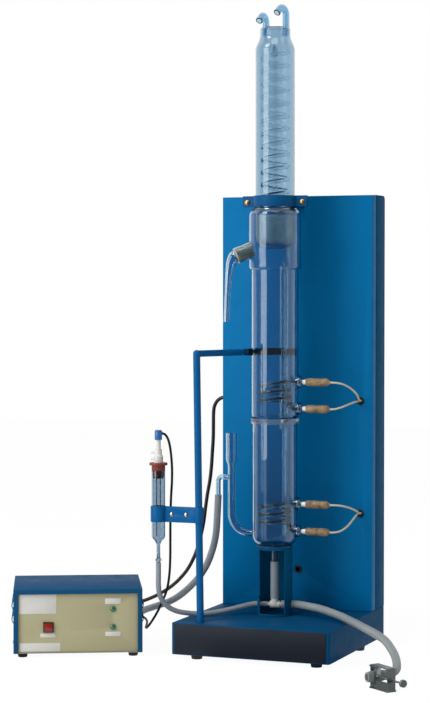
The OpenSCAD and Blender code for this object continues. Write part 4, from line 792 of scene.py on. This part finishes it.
# the four leads, each from inside its ceramic sleeve at x = `start` to its grommet
leadSpec = {"radius": 1.75, "sides": 12, "start": 93, "routes": [
    [(97, -6, 495), (108, -5, 494.5), (119, 2, 492), (128, 20, 484), (132, 45, 472), (128.5, 70, 461),
     (127.9, 82, 458), (127.9, 92, 458)],
    [(97, -6, 446), (108, -4, 447), (117, 6, 450), (123, 25, 454), (125, 50, 456.5), (124.2, 72, 457),
     (124.1, 82, 457), (124.1, 92, 457)],
    [(97, -6, 271), (108, -5, 271), (119, 2, 269.5), (129, 20, 264), (133, 45, 256), (129, 70, 249.5),
     (127.9, 82, 248.5), (127.9, 92, 248.5)],
    [(97, -6, 221), (108, -4, 221.5), (117, 6, 224.5), (123, 25, 232), (125, 50, 241.5), (124.2, 72, 246.8),
     (124.1, 82, 247.5), (124.1, 92, 247.5)]]}


# several tubes joined into one piece
def joinedTubes(name, paths, radius, sides):
    bm = bmesh.new()
    for i, path in enumerate(paths):
        mesh = tubeMesh(name + str(i), path, [radius] * len(path), sides)
        bm.from_mesh(mesh)
        bpy.data.meshes.remove(mesh)
    mesh = bpy.data.meshes.new(name)
    bm.to_mesh(mesh)
    bm.free()
    mesh.shade_smooth()
    mesh.set_sharp_from_angle(angle=tubeSharp)
    return linkObject(name, mesh)


leadPaths = [smoothRoute([(leadSpec["start"], *route[0][1:])] + route, lineStep)
             for route in leadSpec["routes"]]
heaterLeads = joinedTubes("heaterLeads", leadPaths, leadSpec["radius"] * mm, leadSpec["sides"])
handOver(heaterLeads, creamBraid, "heater_leads")
print("heaters and leads wound")


# two switches: one for gloss alone, and one for the camera, gloss and glass, which all look at the studio;
# every other ray meets its plain surface
def whoLooks(tree):
    rays = addNode(tree, "ShaderNodeLightPath")
    first = addNode(tree, "ShaderNodeMath", {"operation": "MAXIMUM"},
                    {0: rays.outputs["Is Camera Ray"], 1: rays.outputs["Is Glossy Ray"]})
    bright = addNode(tree, "ShaderNodeMath", {"operation": "MAXIMUM"},
                     {0: first.outputs[0], 1: rays.outputs["Is Transmission Ray"]})
    return rays.outputs["Is Glossy Ray"], bright.outputs[0]


# degrees from straight in front, towards the right, and how white the studio is there
screenSpec = [(-179, 0.9), (-84, 1.0), (-78, 0.25), (-57, 0.25), (-51, 1.0), (-27, 1.0), (-21, 0.12),
              (66, 0.12), (76, 0.9), (118, 1.0), (179, 0.9)]


# the white screens round the studio that gloss sees, with the darker gaps between them, by the azimuth
# of `place`
def studioScreens(tree, place):
    parts = addNode(tree, "ShaderNodeSeparateXYZ", {}, {0: place})
    front = addNode(tree, "ShaderNodeMath", {"operation": "MULTIPLY"}, {0: parts.outputs[1], 1: -1.0})
    azimuth = addNode(tree, "ShaderNodeMath", {"operation": "ARCTAN2"},
                      {0: parts.outputs[0], 1: front.outputs[0]})
    share = addNode(tree, "ShaderNodeMapRange", {},
                    {"Value": azimuth.outputs[0], "From Min": -math.pi, "From Max": math.pi})
    screens = addNode(tree, "ShaderNodeValToRGB", {}, {0: share.outputs[0]})
    ramp = screens.color_ramp
    for degrees, value in screenSpec:
        spot = ramp.elements.new((degrees + 180) / 360)
        spot.color = (value, value, value, 1)
    ramp.elements.remove(ramp.elements[0])
    ramp.elements.remove(ramp.elements[-1])
    return screens.outputs[0]


# `floor` is its side in metres, and it lies `below` millimetres under the object
stageSpec = {"floor": 12.0, "below": 0.5, "colour": "#F4F4F2", "roughness": 0.9, "white": 0.93, "glow": 1.03,
             "ambient": 0.42}


# matt paper that takes the object's shadow and looks white; to gloss it has a painted glow, the studio's
# screens and their darker gaps by the azimuth where it lies
def sweepPaper(spec):
    surface = {"Base Color": hexColour(spec["colour"]), "Roughness": spec["roughness"]}
    material, tree, shader = startMaterial("paleSweepPaper", surface)
    glossy, bright = whoLooks(tree)
    share = addNode(tree, "ShaderNodeMath", {"operation": "MULTIPLY"}, {0: bright, 1: spec["white"]})
    spot = addNode(tree, "ShaderNodeNewGeometry")
    screens = studioScreens(tree, spot.outputs["Position"])
    strength = addNode(tree, "ShaderNodeMix", {"data_type": "FLOAT"},
                       {0: glossy, 2: spec["glow"], 3: screens})
    glow = addNode(tree, "ShaderNodeEmission", {}, {"Color": (1, 1, 1, 1), "Strength": strength.outputs[0]})
    mixed = addNode(tree, "ShaderNodeMixShader", {},
                    {0: share.outputs[0], 1: shader.outputs[0], 2: glow.outputs[0]})
    feed(tree, outputOf(tree), {"Surface": mixed.outputs[0]})
    return material


# soft light all round, white where it is seen
def studioWorld(spec):
    world = bpy.data.worlds.new("studio")
    world.use_nodes = True
    tree = world.node_tree
    tree.nodes.clear()
    glossy, bright = whoLooks(tree)
    level = addNode(tree, "ShaderNodeMapRange", {},
                    {"Value": bright, "To Min": spec["ambient"], "To Max": 1.0})
    facing = addNode(tree, "ShaderNodeTexCoord")
    screens = studioScreens(tree, facing.outputs["Generated"])
    seen = addNode(tree, "ShaderNodeMix", {"data_type": "FLOAT"},
                   {0: glossy, 2: level.outputs[0], 3: screens})
    sky = addNode(tree, "ShaderNodeBackground", {}, {"Color": (1, 1, 1, 1), "Strength": seen.outputs[0]})
    addNode(tree, "ShaderNodeOutputWorld", {}, {"Surface": sky.outputs[0]})
    return world


half, low = stageSpec["floor"] / 2, -stageSpec["below"] * mm
floorMesh = bpy.data.meshes.new("floor")
floorMesh.from_pydata([(-half, -half, low), (half, -half, low), (half, half, low), (-half, half, low)], [],
                      [(0, 1, 2, 3)])
floor = linkObject("floor", floorMesh)
floor.data.materials.append(sweepPaper(stageSpec))
bpy.context.scene.world = studioWorld(stageSpec)

# where each lamp stands and what it aims at, its width and height in metres, and its watts
lampSpec = {
    "keySoftbox": {"place": (-1.35, -1.8, 0.95), "aim": (0, 0, 0.75), "size": (1.3, 1.7), "watts": 21},
    "highSoftbox": {"place": (-1.5, -2.2, 2.9), "aim": (0, 0, 0.5), "size": (1.2, 1.2), "watts": 34},
    "topSoftbox": {"place": (0.2, -0.9, 2.9), "aim": (0, 0, 0.4), "size": (1.2, 1.2), "watts": 12},
}
for name, spec in lampSpec.items():
    lamp = bpy.data.lights.new(name, "AREA")
    lamp.shape = "RECTANGLE"
    lamp.size, lamp.size_y = spec["size"]
    lamp.energy = spec["watts"]
    stand = linkObject(name, lamp)
    place = Vector(spec["place"])
    stand.location = place
    stand.rotation_euler = (Vector(spec["aim"]) - place).to_track_quat("-Z", "Y").to_euler()
bpy.context.scene.view_settings.view_transform = "Standard"
print("floor and light set")

bpy.context.view_layer.update()
